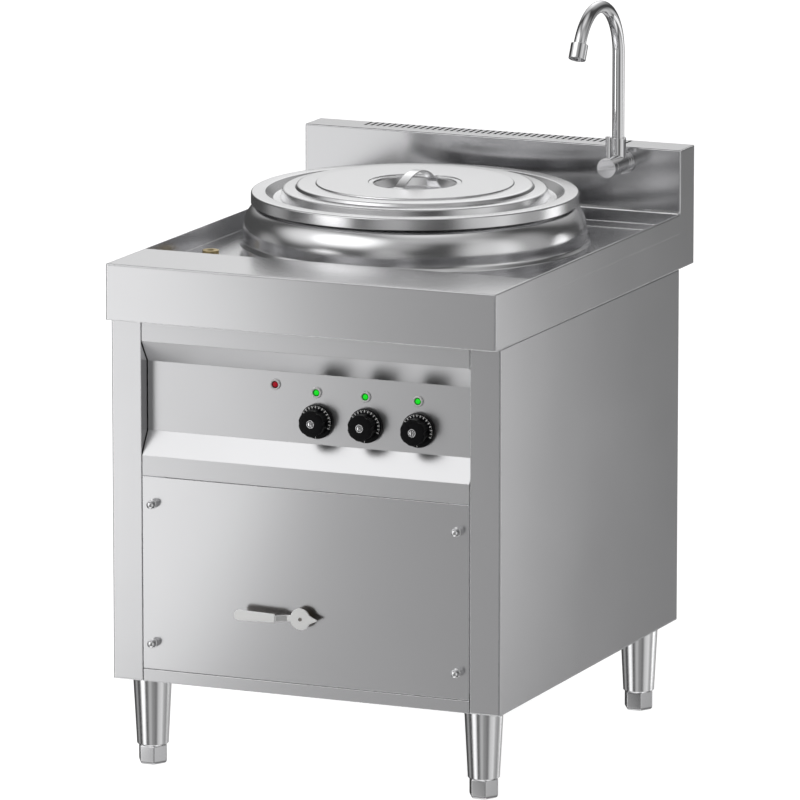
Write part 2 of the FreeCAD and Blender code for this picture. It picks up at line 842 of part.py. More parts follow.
# Drum and pot
def make_drum():
    """The round casing: a spun shell with a beaded foot and a rounded shoulder."""
    body = new_body("drum", "0", "drum_y", "0")
    turned_ring(body, [
        ("drum_radius - drum_sheet", "tray_floor"),
        ("drum_radius", "tray_floor"),
        ("drum_radius", "bead_bottom"),
        ("bead_radius", "bead_bottom"),
        ("drum_radius", "bead_bottom + bead_rise"),
        ("drum_radius", "drum_top - shoulder_radius"),
        ("drum_arc_centre + shoulder_radius * cos(30)", "drum_top - shoulder_radius * (1 - sin(30))"),
        ("drum_arc_centre + shoulder_radius * cos(60)", "drum_top - shoulder_radius * (1 - sin(60))"),
        ("drum_arc_centre", "drum_top"),
        ("drum_mouth", "drum_top"),
        ("drum_mouth", "drum_top - drum_sheet"),
        ("drum_radius - drum_sheet", "drum_top - shoulder_radius"),
    ])


def make_pot():
    """The cooking pot is welded into the drum's mouth and stands up to carry the lid's rim."""
    body = new_body("pot", "0", "drum_y", "0")
    turned_ring(body, [
        ("0", "pot_bottom"),
        ("pot_outer", "pot_bottom"),
        ("pot_outer", "pot_top"),
        ("pot_radius", "pot_top"),
        ("pot_radius", "pot_bottom + pot_sheet"),
        ("0", "pot_bottom + pot_sheet"),
    ])
    outlet = new_sketch(body, "XZ_Plane")
    circle(outlet, "pipe_radius + running_clearance", "drain_x", "outlet_z")
    pocket(body, outlet, "pot_outer + 1", ahead=True)
    entry = new_sketch(body, "XZ_Plane")
    circle(entry, "head_radius + running_clearance", "0", "heater_z")
    pocket(body, entry, "pot_outer + 1")


def make_heaters():
    """Three hairpin elements lie side by side low in the pot, in one head that passes through its back wall."""
    body = new_body("heating_elements", "0", "drum_y", "heater_z")
    head = new_sketch(body, "XZ_Plane", "-(pot_radius - head_inside)")
    circle(head, "head_radius")
    pad(body, head, "head_inside + head_outside", back=True)
    for side_step in ("-1", "0", "1"):
        middle = f"{side_step} * heater_spacing"
        path = new_sketch(body, "XY_Plane")
        line(path, [
            (f"{middle} - heater_half_pitch", "pot_radius - head_inside"),
            (f"{middle} - heater_half_pitch", "-heater_reach"),
            (f"{middle} + heater_half_pitch", "-heater_reach"),
            (f"{middle} + heater_half_pitch", "pot_radius - head_inside"),
        ])
        section = new_sketch(body, "XZ_Plane", "-(pot_radius - head_inside)")
        circle(section, "heater_tube_radius", f"{middle} - heater_half_pitch", "0")
        mitred_pipe(body, "PartDesign::AdditivePipe", section, path)


# Lid
def make_lid():
    """A pressed lid: skirt, flat rim, trough that drops inside the pot's mouth, stepped crown and hand cup."""
    body = new_body("lid", "0", "drum_y", "0")
    turned_ring(body, [
        ("lid_radius - lid_sheet", "rim_top - skirt_depth"),
        ("lid_radius", "rim_top - skirt_depth"),
        ("lid_radius", "rim_top"),
        ("trough_mouth", "rim_top"),
        ("trough_outer", "trough_floor"),
        ("trough_inner", "trough_floor"),
        ("plateau_outer", "plateau_top"),
        ("step_outer", "plateau_top"),
        ("crown_outer", "crown_top"),
        ("disc_outer + disc_thickness / 2", "crown_top"),
        ("disc_outer", "disc_top"),
        ("cup_radius", "disc_top"),
        ("cup_radius - ledge_depth / 2", "ledge_top"),
        ("ledge_inner", "ledge_top"),
        ("cup_floor_radius", "cup_floor"),
        ("0", "cup_floor"),
        ("0", "cup_floor - lid_sheet"),
        ("cup_floor_radius", "cup_floor - lid_sheet"),
        ("ledge_inner + lid_sheet", "crown_top - lid_sheet"),
        ("crown_outer - lid_sheet", "crown_top - lid_sheet"),
        ("crown_outer - lid_sheet", "plateau_top - lid_sheet"),
        ("plateau_outer - lid_sheet", "plateau_top - lid_sheet"),
        ("plateau_outer - lid_sheet", "trough_floor - lid_sheet"),
        ("trough_mouth", "trough_floor - lid_sheet"),
        ("trough_mouth", "pot_top"),
        ("lid_radius - lid_sheet", "pot_top"),
    ])


def make_strap():
    """The strap handle arches across the hand cup, with a tab on the ledge at each end."""
    body = new_body("lid_handle", "0", "drum_y", "strap_centre")
    section = new_sketch(body, "XZ_Plane")
    rectangle(section, "-strap_width / 2", "strap_radius - strap_thickness", "strap_width / 2", "strap_radius")
    arch = turn(body, section, "X_Axis", "2 * asin(strap_half_span / strap_radius)")
    arch.Type = "Angle"
    arch.Midplane = True
    tab = new_sketch(body, "YZ_Plane")
    for sign in ("", "-"):
        rectangle(tab, f"{sign}(strap_half_span - strap_thickness)", "ledge_top - strap_centre",
                  f"{sign}(strap_half_span + strap_tab)", "ledge_top - strap_centre + strap_thickness")
    pad(body, tab, "strap_width", both=True)


# Controls
def make_knob(name, x):
    body = new_body(name, x, "recess_face", "knob_z")
    skirt = new_sketch(body, "XZ_Plane", "knob_gap")
    circle(skirt, "skirt_radius")
    pad(body, skirt, "skirt_thickness")
    grip = new_sketch(body, "XZ_Plane", "knob_gap + skirt_thickness")
    circle(grip, "grip_radius")
    pad(body, grip, "grip_length")
    flute = new_sketch(body, "XZ_Plane", "knob_gap + skirt_thickness")
    circle(flute, "flute_radius", "flute_centre * sin(180 / flute_count)", "flute_centre * cos(180 / flute_count)")
    cut = pocket(body, flute, "grip_length + 1", ahead=True)
    ring = body.newObject("PartDesign::PolarPattern", "Flutes")
    ring.Originals = [cut]
    ring.Axis = (datum(body, "Y_Axis"), [""])
    ring.Angle = 360
    bind(ring, "Occurrences", "flute_count")
    body.Tip = ring
    spindle = new_sketch(body, "XZ_Plane", "knob_gap")
    circle(spindle, "spindle_radius")
    pad(body, spindle, "knob_gap + spindle_length", back=True)


def make_thermostats():
    body = new_body("thermostats", "0", "recess_back", "knob_z")
    boxes = new_sketch(body, "XZ_Plane")
    bores = new_sketch(body, "XZ_Plane")
    for knob_x in ("knob_left_x", "knob_middle_x", "knob_right_x"):
        rectangle(boxes, f"{knob_x} - thermostat_width / 2", "-thermostat_height / 2",
                  f"{knob_x} + thermostat_width / 2", "thermostat_height / 2")
        circle(bores, "spindle_radius + running_clearance", knob_x)
    pad(body, boxes, "thermostat_depth", back=True)
    pocket(body, bores, "spindle_length + seam_gap")


def lamp_places(which):
    green = [(f"{knob_x} + lamp_offset", "green_lamp_z")
             for knob_x in ("knob_left_x", "knob_middle_x", "knob_right_x")]
    return {"green": green, "red": [("red_lamp_x", "red_lamp_z")]}[which]


def make_lamps():
    bezels = new_body("lamp_bezels", "0", "recess_face", "0")
    rings = new_sketch(bezels, "XZ_Plane")
    for x, z in lamp_places("green") + lamp_places("red"):
        circle(rings, "bezel_radius", x, z)
        circle(rings, "lens_radius + joint_gap", x, z)
    pad(bezels, rings, "bezel_thickness")
    for name, which in (("green_lamps", "green"), ("red_lamp", "red")):
        body = new_body(name, "0", "recess_face", "0")
        lens = new_sketch(body, "XZ_Plane", "bezel_thickness + lens_thickness")
        for x, z in lamp_places(which):
            circle(lens, "lens_radius", x, z)
        pad(body, lens, "bezel_thickness + lens_thickness + lamp_body_length", back=True)


# Drain
def make_drain_pipe():
    """The pot's outlet pipe: forward from the wall of the pot, then down into the valve, with a mitred elbow."""
    body = new_body("drain_pipe", "drain_x", "0", "0")
    path = new_sketch(body, "YZ_Plane")
    entry = "drum_y - pot_radius + pipe_entry"
    line(path, [(entry, "outlet_z"), ("valve_y", "outlet_z"), ("valve_y", "lever_z + valve_half_height")])
    for kind, radius in (("Additive", "pipe_radius"), ("Subtractive", "pipe_bore")):
        section = new_sketch(body, "XZ_Plane", f"-({entry})")
        circle(section, radius, "0", "outlet_z")
        mitred_pipe(body, f"PartDesign::{kind}Pipe", section, path)


def make_outlet_pipe():
    body = new_body("outlet_pipe", "drain_x", "valve_y", "0")
    ring = new_sketch(body, "XY_Plane", "cabinet_bottom - outlet_below")
    circle(ring, "pipe_radius")
    circle(ring, "pipe_bore")
    pad(body, ring, "lever_z - valve_half_height - (cabinet_bottom - outlet_below)")


def make_valve():
    """A quarter-turn plug valve: block body, cross-bored plug, and the stem that comes out through the panel."""
    body = new_body("valve_body", "drain_x", "valve_y", "lever_z")
    block = new_sketch(body, "XY_Plane")
    rectangle(block, "-valve_width / 2", "-valve_width / 2", "valve_width / 2", "valve_width / 2")
    pad(body, block, "2 * valve_half_height", both=True)
    port = new_sketch(body, "XY_Plane")
    circle(port, "port_radius")
    pocket(body, port, "2 * valve_half_height", both=True)
    neck = new_sketch(body, "XZ_Plane", "valve_width / 2")
    circle(neck, "valve_neck_radius")
    pad(body, neck, "valve_setback - valve_width / 2 - cabinet_sheet - joint_gap")
    seat = new_sketch(body, "XZ_Plane")
    circle(seat, "plug_radius + running_clearance")
    pocket(body, seat, "2 * (plug_half_length + joint_gap)", both=True)
    stem_hole = new_sketch(body, "XZ_Plane")
    circle(stem_hole, "stem_radius + running_clearance")
    pocket(body, stem_hole, "valve_setback", ahead=True)
    plug = new_body("valve_plug", "drain_x", "valve_y", "lever_z")
    barrel = new_sketch(plug, "XZ_Plane")
    circle(barrel, "plug_radius")
    pad(plug, barrel, "2 * plug_half_length", both=True)
    stem = new_sketch(plug, "XZ_Plane")
    circle(stem, "stem_radius")
    pad(plug, stem, "valve_setback + lever_standoff")
    cross = new_sketch(plug, "YZ_Plane")
    circle(cross, "port_radius")
    pocket(plug, cross, "2 * plug_radius + 1", both=True)


def make_lever():
    """The drain lever: round head with a pointer, a neck, a crank away from the panel and a widening grip."""
    body = new_body("drain_lever", "drain_x", "lever_y", "lever_z")
    head = new_sketch(body, "XZ_Plane")
    circle(head, "lever_head_radius")
    pad(body, head, "lever_thickness")
    pointer = new_sketch(body, "XZ_Plane")
    outline(pointer, [
        ("0", "-lever_head_radius * 0.8"),
        ("lever_pointer", "-lever_neck_width / 4"),
        ("lever_pointer", "lever_neck_width / 4"),
        ("0", "lever_head_radius * 0.8"),
    ])
    pad(body, pointer, "lever_thickness")
    neck = new_sketch(body, "XZ_Plane")
    rectangle(neck, "-lever_crank_start", "-lever_neck_width / 2", "0", "lever_neck_width / 2")
    pad(body, neck, "lever_thickness")
    crank = new_sketch(body, "XY_Plane")
    outline(crank, [
        ("-lever_crank_start + lever_thickness / 2", "0"),
        ("-lever_crank_start + lever_thickness / 2", "-lever_thickness"),
        ("-lever_crank_end + lever_thickness / 2", "-lever_crank_rise - lever_thickness"),
        ("-lever_crank_end - lever_thickness", "-lever_crank_rise - lever_thickness"),
        ("-lever_crank_end - lever_thickness", "-lever_crank_rise"),
        ("-lever_crank_end", "-lever_crank_rise"),
        ("-lever_crank_start", "0"),
    ])
    pad(body, crank, "lever_neck_width", both=True)
    grip = new_sketch(body, "XZ_Plane", "lever_crank_rise")
    outline(grip, [
        ("-lever_crank_end", "-lever_grip_root_width / 2"),
        ("-lever_grip_end", "-lever_grip_tip_width / 2"),
        ("-lever_grip_end", "lever_grip_tip_width / 2"),
        ("-lever_crank_end", "lever_grip_root_width / 2"),
    ])
    blade = pad(body, grip, "lever_thickness")
    round_edges(body, blade, "lever_corner", lambda edge: (
        lies_at(edge, "x", -value("lever_grip_end")) and runs_along(edge, "y")
    ))


# Tap
def make_tap_body():
    body = new_body("tap_body", "tap_x", "splash_front", "tap_z")
    barrel = new_sketch(body, "XZ_Plane", "tap_flange_thickness")
    circle(barrel, "tap_body_radius")
    pad(body, barrel, "tap_body_length")
    flange = new_sketch(body, "XZ_Plane")
    circle(flange, "tap_flange_radius")
    pad(body, flange, "tap_flange_thickness")
    shank = new_sketch(body, "XZ_Plane")
    circle(shank, "tap_shank_radius")
    pad(body, shank, "tap_shank_length", back=True)
    tail = new_sketch(body, "XZ_Plane")
    circle(tail, "tap_tail_radius")
    pad(body, tail, "tap_tail_length", back=True)
    socket = new_sketch(body, "XY_Plane")
    circle(socket, "socket_radius", "0", "-spout_setback")
    pad(body, socket, "socket_height")
    bore = new_sketch(body, "XY_Plane", "socket_height")
    circle(bore, "spout_radius + running_clearance", "0", "-spout_setback")
    pocket(body, bore, "socket_depth + joint_gap")
    spigot_hole = new_sketch(body, "XZ_Plane", "tap_flange_thickness + tap_body_length")
    circle(spigot_hole, "tap_spigot_radius + running_clearance")
    pocket(body, spigot_hole, "tap_spigot_length + 2 * tap_cap_gap")


def make_tap_nut():
    body = new_body("tap_back_nut", "tap_x", "splash_front + worktop_sheet", "tap_z")
    ring = new_sketch(body, "XZ_Plane")
    hexagon(ring, "tap_nut_across_flats")
    circle(ring, "tap_shank_radius + joint_gap")
    pad(body, ring, "tap_nut_thickness", back=True)


def make_tap_handle():
    """The front cap turns on a spigot and carries the lever rod."""
    body = new_body("tap_handle", "tap_x", "splash_front", "tap_z")
    start = "tap_flange_thickness + tap_body_length + tap_cap_gap"
    cap = new_sketch(body, "XZ_Plane", start)
    circle(cap, "tap_body_radius")
    pad(body, cap, "tap_cap_length")
    spigot = new_sketch(body, "XZ_Plane", start)
    circle(spigot, "tap_spigot_radius")
    pad(body, spigot, "tap_spigot_length", back=True)
    rod = new_sketch(body, "XY_Plane")
    circle(rod, "rod_radius", "0", f"-({start} + tap_cap_length / 2)")
    pad(body, rod, "rod_height")


def make_spout():
    """The swan neck: a straight riser in the socket and one long bend forward."""
    body = new_body("spout", "tap_x", "spout_y", "0")
    path = new_sketch(body, "YZ_Plane")
    centre_y = "-spout_arc_radius"
    tip_y = "spout_arc_radius * (cos(spout_arc_angle) - 1)"
    tip_z = "spout_centre_z + spout_arc_radius * sin(spout_arc_angle)"
    start = FreeCAD.Vector(0, value("spout_foot"), 0)
    bend = FreeCAD.Vector(0, value("spout_centre_z"), 0)
    crest = FreeCAD.Vector(value(centre_y), value("spout_centre_z + spout_arc_radius"), 0)
    tip = FreeCAD.Vector(value(tip_y), value(tip_z), 0)
    path.addGeometry(Part.LineSegment(start, bend), False)
    path.addGeometry(Part.Arc(bend, crest, tip), False)
    path.addConstraint(Sketcher.Constraint("Coincident", 0, 2, 1, 1))
    fix(path, "DistanceX", 0, 1, "0")
    fix(path, "DistanceY", 0, 1, "spout_foot")
    fix(path, "DistanceX", 0, 2, "0")
    fix(path, "DistanceY", 0, 2, "spout_centre_z")
    fix(path, "DistanceX", 1, 3, centre_y)
    fix(path, "DistanceY", 1, 3, "spout_centre_z")
    fix(path, "DistanceY", 1, 2, tip_z)
    section = new_sketch(body, "XY_Plane", "spout_foot")
    circle(section, "spout_radius")
    pipe = body.newObject("PartDesign::AdditivePipe", "Pipe")
    pipe.Profile = section
    pipe.Spine = (path, [])


def make_aerator():
    body = new_body("aerator")
    bind(body, "Placement.Base.x", "tap_x")
    bind(body, "Placement.Base.y", "spout_y + spout_arc_radius * (cos(spout_arc_angle) - 1)")
    bind(body, "Placement.Base.z", "spout_centre_z + spout_arc_radius * sin(spout_arc_angle)")
    body.Placement.Rotation = FreeCAD.Rotation(FreeCAD.Vector(1, 0, 0), 1)
    bind(body, "Placement.Rotation.Angle", "spout_arc_angle")
    collar = new_sketch(body, "XY_Plane")
    circle(collar, "aerator_radius")
    pad(body, collar, "aerator_length")
    recess = new_sketch(body, "XY_Plane", "aerator_length")
    circle(recess, "aerator_recess_radius")
    pocket(body, recess, "aerator_recess_depth")


# Tray drain
def make_tray_drain():
    """The tray's waste: a flanged fitting on the tray's floor with its pipe down through the cabinet."""
    body = new_body("tray_drain", "tray_drain_x", "tray_drain_y", "0")
    turned_ring(body, [
        ("tray_drain_bore", "cabinet_bottom - waste_below"),
        ("tray_tail_radius", "cabinet_bottom - waste_below"),
        ("tray_tail_radius", "cabinet_bottom - waste_below + tray_tail_length"),
        ("tray_riser_radius", "cabinet_bottom - waste_below + tray_tail_length"),
        ("tray_riser_radius", "tray_floor"),
        ("tray_drain_radius", "tray_floor"),
        ("tray_drain_radius", "tray_floor + tray_drain_thickness"),
        ("tray_drain_bore", "tray_floor + tray_drain_thickness"),
    ])


# Electrical parts
def make_electrics():
    plate_x = "side - cabinet_sheet"
    plate = new_body("electrics_plate", plate_x, "front + plate_from_front", "plate_bottom")
    sheet_face = new_sketch(plate, "YZ_Plane")
    rectangle(sheet_face, "0", "0", "plate_length", "plate_height")
    pad(plate, sheet_face, "plate_sheet", back=True)
    contactors = new_body("contactors", plate_x + " - plate_sheet", "front + plate_from_front", "plate_bottom")
    boxes = new_sketch(contactors, "YZ_Plane")
    high = "plate_height - plate_sheet"
    for i in range(3):
        start = f"{i} * contactor_pitch + contactor_pitch - contactor_width"
        rectangle(boxes, start, f"{high} - contactor_height", f"{start} + contactor_width", high)
    pad(contactors, boxes, "contactor_depth", back=True)
    terminal = new_body("terminal_block", plate_x + " - plate_sheet", "front + plate_from_front", "plate_bottom")
    strip = new_sketch(terminal, "YZ_Plane")
    rectangle(strip, "plate_sheet", "plate_sheet", "plate_sheet + terminal_length", "plate_sheet + terminal_height")
    pad(terminal, strip, "terminal_depth", back=True)


def make_gland():
    body = new_body("cable_gland", "gland_x", "cabinet_back - cabinet_sheet", "gland_z")
    nut = new_sketch(body, "XZ_Plane")
    hexagon(nut, "gland_across_flats")
    circle(nut, "gland_bore_radius")
    pad(body, nut, "gland_outside", back=True)
    thread = new_sketch(body, "XZ_Plane")
    circle(thread, "gland_thread_radius")
    circle(thread, "gland_bore_radius")
    pad(body, thread, "cabinet_sheet + gland_inside")


make_worktop()
make_splashback()
make_tray_supports()
make_side_panels()
make_back_panel()
make_base_pan()
make_base_rails()
make_fascia()
make_access_panel()
make_strips()
make_cap_nuts()
make_legs()
for end, foot_y in (("front", "leg_front"), ("back", "leg_back")):
    make_foot(f"foot_{end}_left", "-leg_x", foot_y)
    make_foot(f"foot_{end}_right", "leg_x", foot_y)
make_drum()
make_pot()
make_heaters()
make_lid()
make_strap()
for place_name in ("left", "middle", "right"):
    make_knob(f"knob_{place_name}", f"knob_{place_name}_x")
make_thermostats()
make_lamps()
make_drain_pipe()
make_outlet_pipe()
make_valve()
make_lever()
make_tap_body()
make_tap_nut()
make_tap_handle()
make_spout()
make_aerator()
make_tray_drain()
make_electrics()
make_gland()
doc.recompute()

CUTS = ("PartDesign::Pocket", "PartDesign::Groove", "PartDesign::SubtractivePipe")
for thing in doc.Objects:
    if "Invalid" in thing.State or "Error" in thing.State:
        raise RuntimeError(f"{thing.Label} of {thing.getParentGeoFeatureGroup().Label} failed: {thing.State}")
    if thing.TypeId in CUTS and thing.Shape.Volume > thing.BaseFeature.Shape.Volume - 1e-3:
        raise RuntimeError(f"{thing.Label} of {thing.getParentGeoFeatureGroup().Label} cuts nothing")
os.makedirs("parts", exist_ok=True)
for piece in pieces:
    if piece.Shape.isNull() or not piece.Shape.isValid():
        raise RuntimeError(f"{piece.Label} has no valid shape")
for piece in pieces:
    piece.Shape.exportStep(f"parts/{piece.Label}.step")
    print(f"{piece.Label}: {len(piece.Shape.Solids)} solid, {piece.Shape.Volume / 1000:.1f} cm3")
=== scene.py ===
# %% [markdown]
# # A noodle boiler in brushed steel
# The object is a floor-standing boiler: a round pot under a lid, in a steel cabinet with knobs, a drain
# lever and a swan-neck tap. The engineering model comes in as a fixed frame. Here it gets its finishes, and
# the small and the rounded pieces that a drawing of the frame leaves plain.

# %% Load the frame
import math
import bpy
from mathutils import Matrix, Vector


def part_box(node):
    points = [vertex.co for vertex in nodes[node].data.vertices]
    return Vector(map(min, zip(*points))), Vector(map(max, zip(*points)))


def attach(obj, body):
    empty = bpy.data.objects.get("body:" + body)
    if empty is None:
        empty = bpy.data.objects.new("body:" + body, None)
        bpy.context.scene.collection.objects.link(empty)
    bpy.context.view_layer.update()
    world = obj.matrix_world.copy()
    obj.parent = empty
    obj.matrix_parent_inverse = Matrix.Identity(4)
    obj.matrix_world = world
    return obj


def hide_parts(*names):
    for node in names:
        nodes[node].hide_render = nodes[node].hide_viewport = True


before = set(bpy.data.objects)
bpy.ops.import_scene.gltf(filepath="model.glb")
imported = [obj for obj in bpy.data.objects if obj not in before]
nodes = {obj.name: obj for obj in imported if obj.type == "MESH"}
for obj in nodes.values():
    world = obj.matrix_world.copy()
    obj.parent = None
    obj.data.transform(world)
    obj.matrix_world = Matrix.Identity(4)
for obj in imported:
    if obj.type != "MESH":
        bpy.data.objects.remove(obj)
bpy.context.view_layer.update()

bpy.ops.object.select_all(action="DESELECT")

# %% [markdown]
# ## Camera
# The object was seen from the right and a little above, through a long lens far away, so that upright edges
# stay almost parallel. The camera stands where a fit of the object's known corners puts it.

# %% Place the camera
SENSOR_WIDTH = 36
FOCAL_LENGTH = 379.7
CAMERA_PLACE = (5.18695, -11.94872, 3.15190)
LOOKS_DOWN = 11.353
LOOKS_LEFT = 23.501
scene = bpy.context.scene
camera_data = bpy.data.cameras.new("camera")
camera_data.sensor_width = SENSOR_WIDTH
camera_data.lens = FOCAL_LENGTH
camera_data.clip_end = 200
camera = bpy.data.objects.new("camera", camera_data)
scene.collection.objects.link(camera)
camera.location = CAMERA_PLACE
camera.rotation_euler = (math.radians(90 - LOOKS_DOWN), 0, math.radians(LOOKS_LEFT))
scene.camera = camera
scene.view_settings.view_transform = "Standard"
print("camera at", tuple(camera.location))

# %% [markdown]
# ## Nodes
# Lights and materials are both made of nodes. One function adds a node, sets it and links it, so that the
# cells below read as a list of what flows into what.

# %% Define how a node is added
def add_node(tree, kind, values=None, feeds=None, **settings):
    """Add a node with its settings, its constant inputs and the sockets that feed its other inputs."""
    added = tree.nodes.new(kind)
    for name, value in settings.items():
        setattr(added, name, value)
    for place, value in (values or {}).items():
        added.inputs[place].default_value = value
    for place, source in (feeds or {}).items():
        tree.links.new(source, added.inputs[place])
    return added


# %% [markdown]
# ## Studio
# Brushed steel shows what stands round it more than what lights it. The world is dim, with a few wide soft
# glows where a studio has its lit walls. The camera alone sees it as white. The steel and the lenses don't,
# because the steel in the photograph mirrors dark walls, and would turn flat and pale inside a white room.

# %% Light the world
DIM_LEVEL = 0.08
GLOWS = [
    # azimuth, elevation, full to, faded at, squash, strength
    (-128, -14, 2, 19.5, 0.70, 1.35),
    (-67, -24, 4, 30, 0.85, 0.26),
    (-84, -4, 3, 20, 0.70, 0.40),
    (180, -6, 3, 17, 0.70, 0.36),
    (0, -90, 6, 44, 1.00, 1.50),
    (0, 90, 4, 30, 1.00, 0.50),
    (-120, 38, 4, 29, 1.00, 1.30),
    (-150, 35, 4, 34, 1.00, 0.90),
    (-90, 35, 4, 34, 1.00, 0.42),
    (-30, 65, 6, 36, 1.00, 0.44),
    (-15, 0, 4, 30, 0.45, 0.72),
    (15, 0, 4, 30, 0.45, 0.38),
    (52, -12, 2, 18, 0.70, 0.60),
    (90, -35, 4, 34, 1.00, 0.65),
    (90, 35, 4, 34, 1.00, 0.46),
    (113, 14, 2, 18, 0.70, 0.60),
    (120, 35, 4, 34, 1.00, 0.75),
]
world = bpy.data.worlds.new("studio")
world.use_nodes = True
scene.world = world
tree = world.node_tree
tree.nodes.clear()
direction = tree.nodes.new("ShaderNodeTexCoord")


def add_glow(before, azimuth, elevation, inner, outer, squash, strength):
    """A soft patch of light in the world, from its full core to its faded edge, in degrees.
    A squash under 1 draws the patch out in height."""
    turn, lift = math.radians(azimuth), math.radians(elevation)
    middle = (math.cos(lift) * math.cos(turn), math.cos(lift) * math.sin(turn), math.sin(lift))
    flattened = add_node(tree, "ShaderNodeVectorMath", {1: (1, 1, squash)}, {0: direction.outputs[0]},
                         operation="MULTIPLY")
    unit = add_node(tree, "ShaderNodeVectorMath", None, {0: flattened.outputs[0]}, operation="NORMALIZE")
    toward = add_node(tree, "ShaderNodeVectorMath", {1: middle}, {0: unit.outputs[0]},
                      operation="DOT_PRODUCT")
    reach = {"From Min": math.cos(math.radians(outer)), "From Max": math.cos(math.radians(inner))}
    fade = add_node(tree, "ShaderNodeMapRange", {**reach, "To Max": strength},
                    {"Value": toward.outputs["Value"]}, interpolation_type="SMOOTHSTEP")
    total = add_node(tree, "ShaderNodeMath", None, {0: fade.outputs["Result"], 1: before}, operation="ADD")
    return total.outputs[0]


base_light = tree.nodes.new("ShaderNodeValue")
base_light.outputs[0].default_value = DIM_LEVEL
glows = base_light.outputs[0]
for settings in GLOWS:
    glows = add_glow(glows, *settings)
surroundings = add_node(tree, "ShaderNodeBackground", None, {"Strength": glows})
backdrop = add_node(tree, "ShaderNodeBackground", {"Color": (1, 1, 1, 1)})
path = tree.nodes.new("ShaderNodeLightPath")
seen = add_node(tree, "ShaderNodeMixShader", None, {
    "Fac": path.outputs["Is Camera Ray"], 1: surroundings.outputs[0], 2: backdrop.outputs[0]})
add_node(tree, "ShaderNodeOutputWorld", None, {"Surface": seen.outputs[0]})
print("world has", len(GLOWS), "glows")

# %% [markdown]
# The floor is a pale grey sheet. To the camera it adds enough white to meet the backdrop, and it keeps the
# shadow that the object throws on it. It stays out of the reflections, so the legs and the front show the
# soft walls. It lies as low as the feet reach when they are screwed out, so that no pose pushes a foot
# through it.

# %% Lay the floor
FOOT_TRAVEL = 0.025
FLOOR_SIZE = 40
FLOOR_GREY = (0.6, 0.6, 0.6, 1)
ADDED_WHITE = 0.85
bpy.ops.mesh.primitive_plane_add(size=FLOOR_SIZE, location=(0, 0, -FOOT_TRAVEL))
floor = bpy.context.object
floor.name = "floor"
floor.visible_glossy = False
floor_paint = bpy.data.materials.new("floor_paint")
floor_paint.use_nodes = True
tree = floor_paint.node_tree
tree.nodes.clear()
paint = add_node(tree, "ShaderNodeBsdfDiffuse", {"Color": FLOOR_GREY})
white = add_node(tree, "ShaderNodeEmission", {"Strength": ADDED_WHITE})
lit = add_node(tree, "ShaderNodeAddShader", None, {0: white.outputs[0], 1: paint.outputs[0]})
path = tree.nodes.new("ShaderNodeLightPath")
seen = add_node(tree, "ShaderNodeMixShader", None, {
    "Fac": path.outputs["Is Camera Ray"], 1: paint.outputs[0], 2: lit.outputs[0]})
add_node(tree, "ShaderNodeOutputMaterial", None, {"Surface": seen.outputs[0]})
floor.data.materials.append(floor_paint)
print("floor at", -FOOT_TRAVEL)

# %% [markdown]
# Two soft boxes do the rest. One stands close on the left of the front and one close on the right of the
# side, so that their soft edges fall off across the sheets.

# %% Hang the lamps
def soft_box(name, place, target, width, height, brightness):
    """An oval lamp that points at a target. Brightness is what a mirror would show of it."""
    lamp_data = bpy.data.lights.new(name, "AREA")
    lamp_data.shape = "ELLIPSE"
    lamp_data.size = width
    lamp_data.size_y = height
    lamp_data.energy = brightness * width * height * math.pi ** 2 / 4
    lamp = bpy.data.objects.new(name, lamp_data)
    scene.collection.objects.link(lamp)
    lamp.location = place
    aim = Vector(target) - Vector(place)
    lamp.rotation_euler = aim.to_track_quat("-Z", "Y").to_euler()
    lamp.visible_camera = False
    print(name, "at", place)


soft_box("box_front_left", (-1.20, -1.65, 0.30), (-0.62, 0, 0.36), 1.1, 1.4, 0.68)
soft_box("box_right", (1.30, 1.10, 0.30), (0.30, 0, 0.35), 0.6, 1.6, 0.84)

# %% [markdown]
# ## Steel with a brushed grain
# The sheets were rubbed along their length, which leaves fine streaks. A shader node group holds the effect
# once: noise that is stretched along one axis gives the streaks, and it puts out a colour, a roughness and
# a bumped normal. The colour also carries a painted highlight along every fold. Each steel sets its own
# stretch, tone, streak strength, roughness and edge rounding, which also sets how wide that highlight is.

# %% Build the grain group
def new_group(name, inputs, outputs):
    """A node group with its named inputs and outputs."""
    group = bpy.data.node_groups.new(name, "ShaderNodeTree")
    for label, kind, value in inputs:
        group.interface.new_socket(name=label, in_out="INPUT", socket_type=kind).default_value = value
    for label, kind in outputs:
        group.interface.new_socket(name=label, in_out="OUTPUT", socket_type=kind)
    return group, group.nodes.new("NodeGroupInput"), group.nodes.new("NodeGroupOutput")


SURFACE_OUTPUTS = [
    ("Color", "NodeSocketColor"), ("Roughness", "NodeSocketFloat"), ("Normal", "NodeSocketVector")]
grain, grain_in, grain_out = new_group(
    "steel_grain",
    [("Stretch", "NodeSocketVector", (1, 1, 1)), ("Base", "NodeSocketColor", (0.7, 0.7, 0.7, 1)),
     ("Streak", "NodeSocketFloat", 0.05), ("Rough", "NodeSocketFloat", 0.3),
     ("Rough range", "NodeSocketFloat", 0.08), ("Bump", "NodeSocketFloat", 0.05),
     ("Edge", "NodeSocketFloat", 0.001)],
    SURFACE_OUTPUTS,
)
wanted = grain_in.outputs
coordinates = grain.nodes.new("ShaderNodeTexCoord").outputs["Object"]
stretched = add_node(grain, "ShaderNodeVectorMath", None, {0: coordinates, 1: wanted["Stretch"]},
                     operation="MULTIPLY")
streaks = add_node(grain, "ShaderNodeTexNoise", {"Scale": 1, "Detail": 3, "Roughness": 0.6},
                   {"Vector": stretched.outputs[0]})
clouds = add_node(grain, "ShaderNodeTexNoise", {"Scale": 5, "Detail": 3}, {"Vector": coordinates})
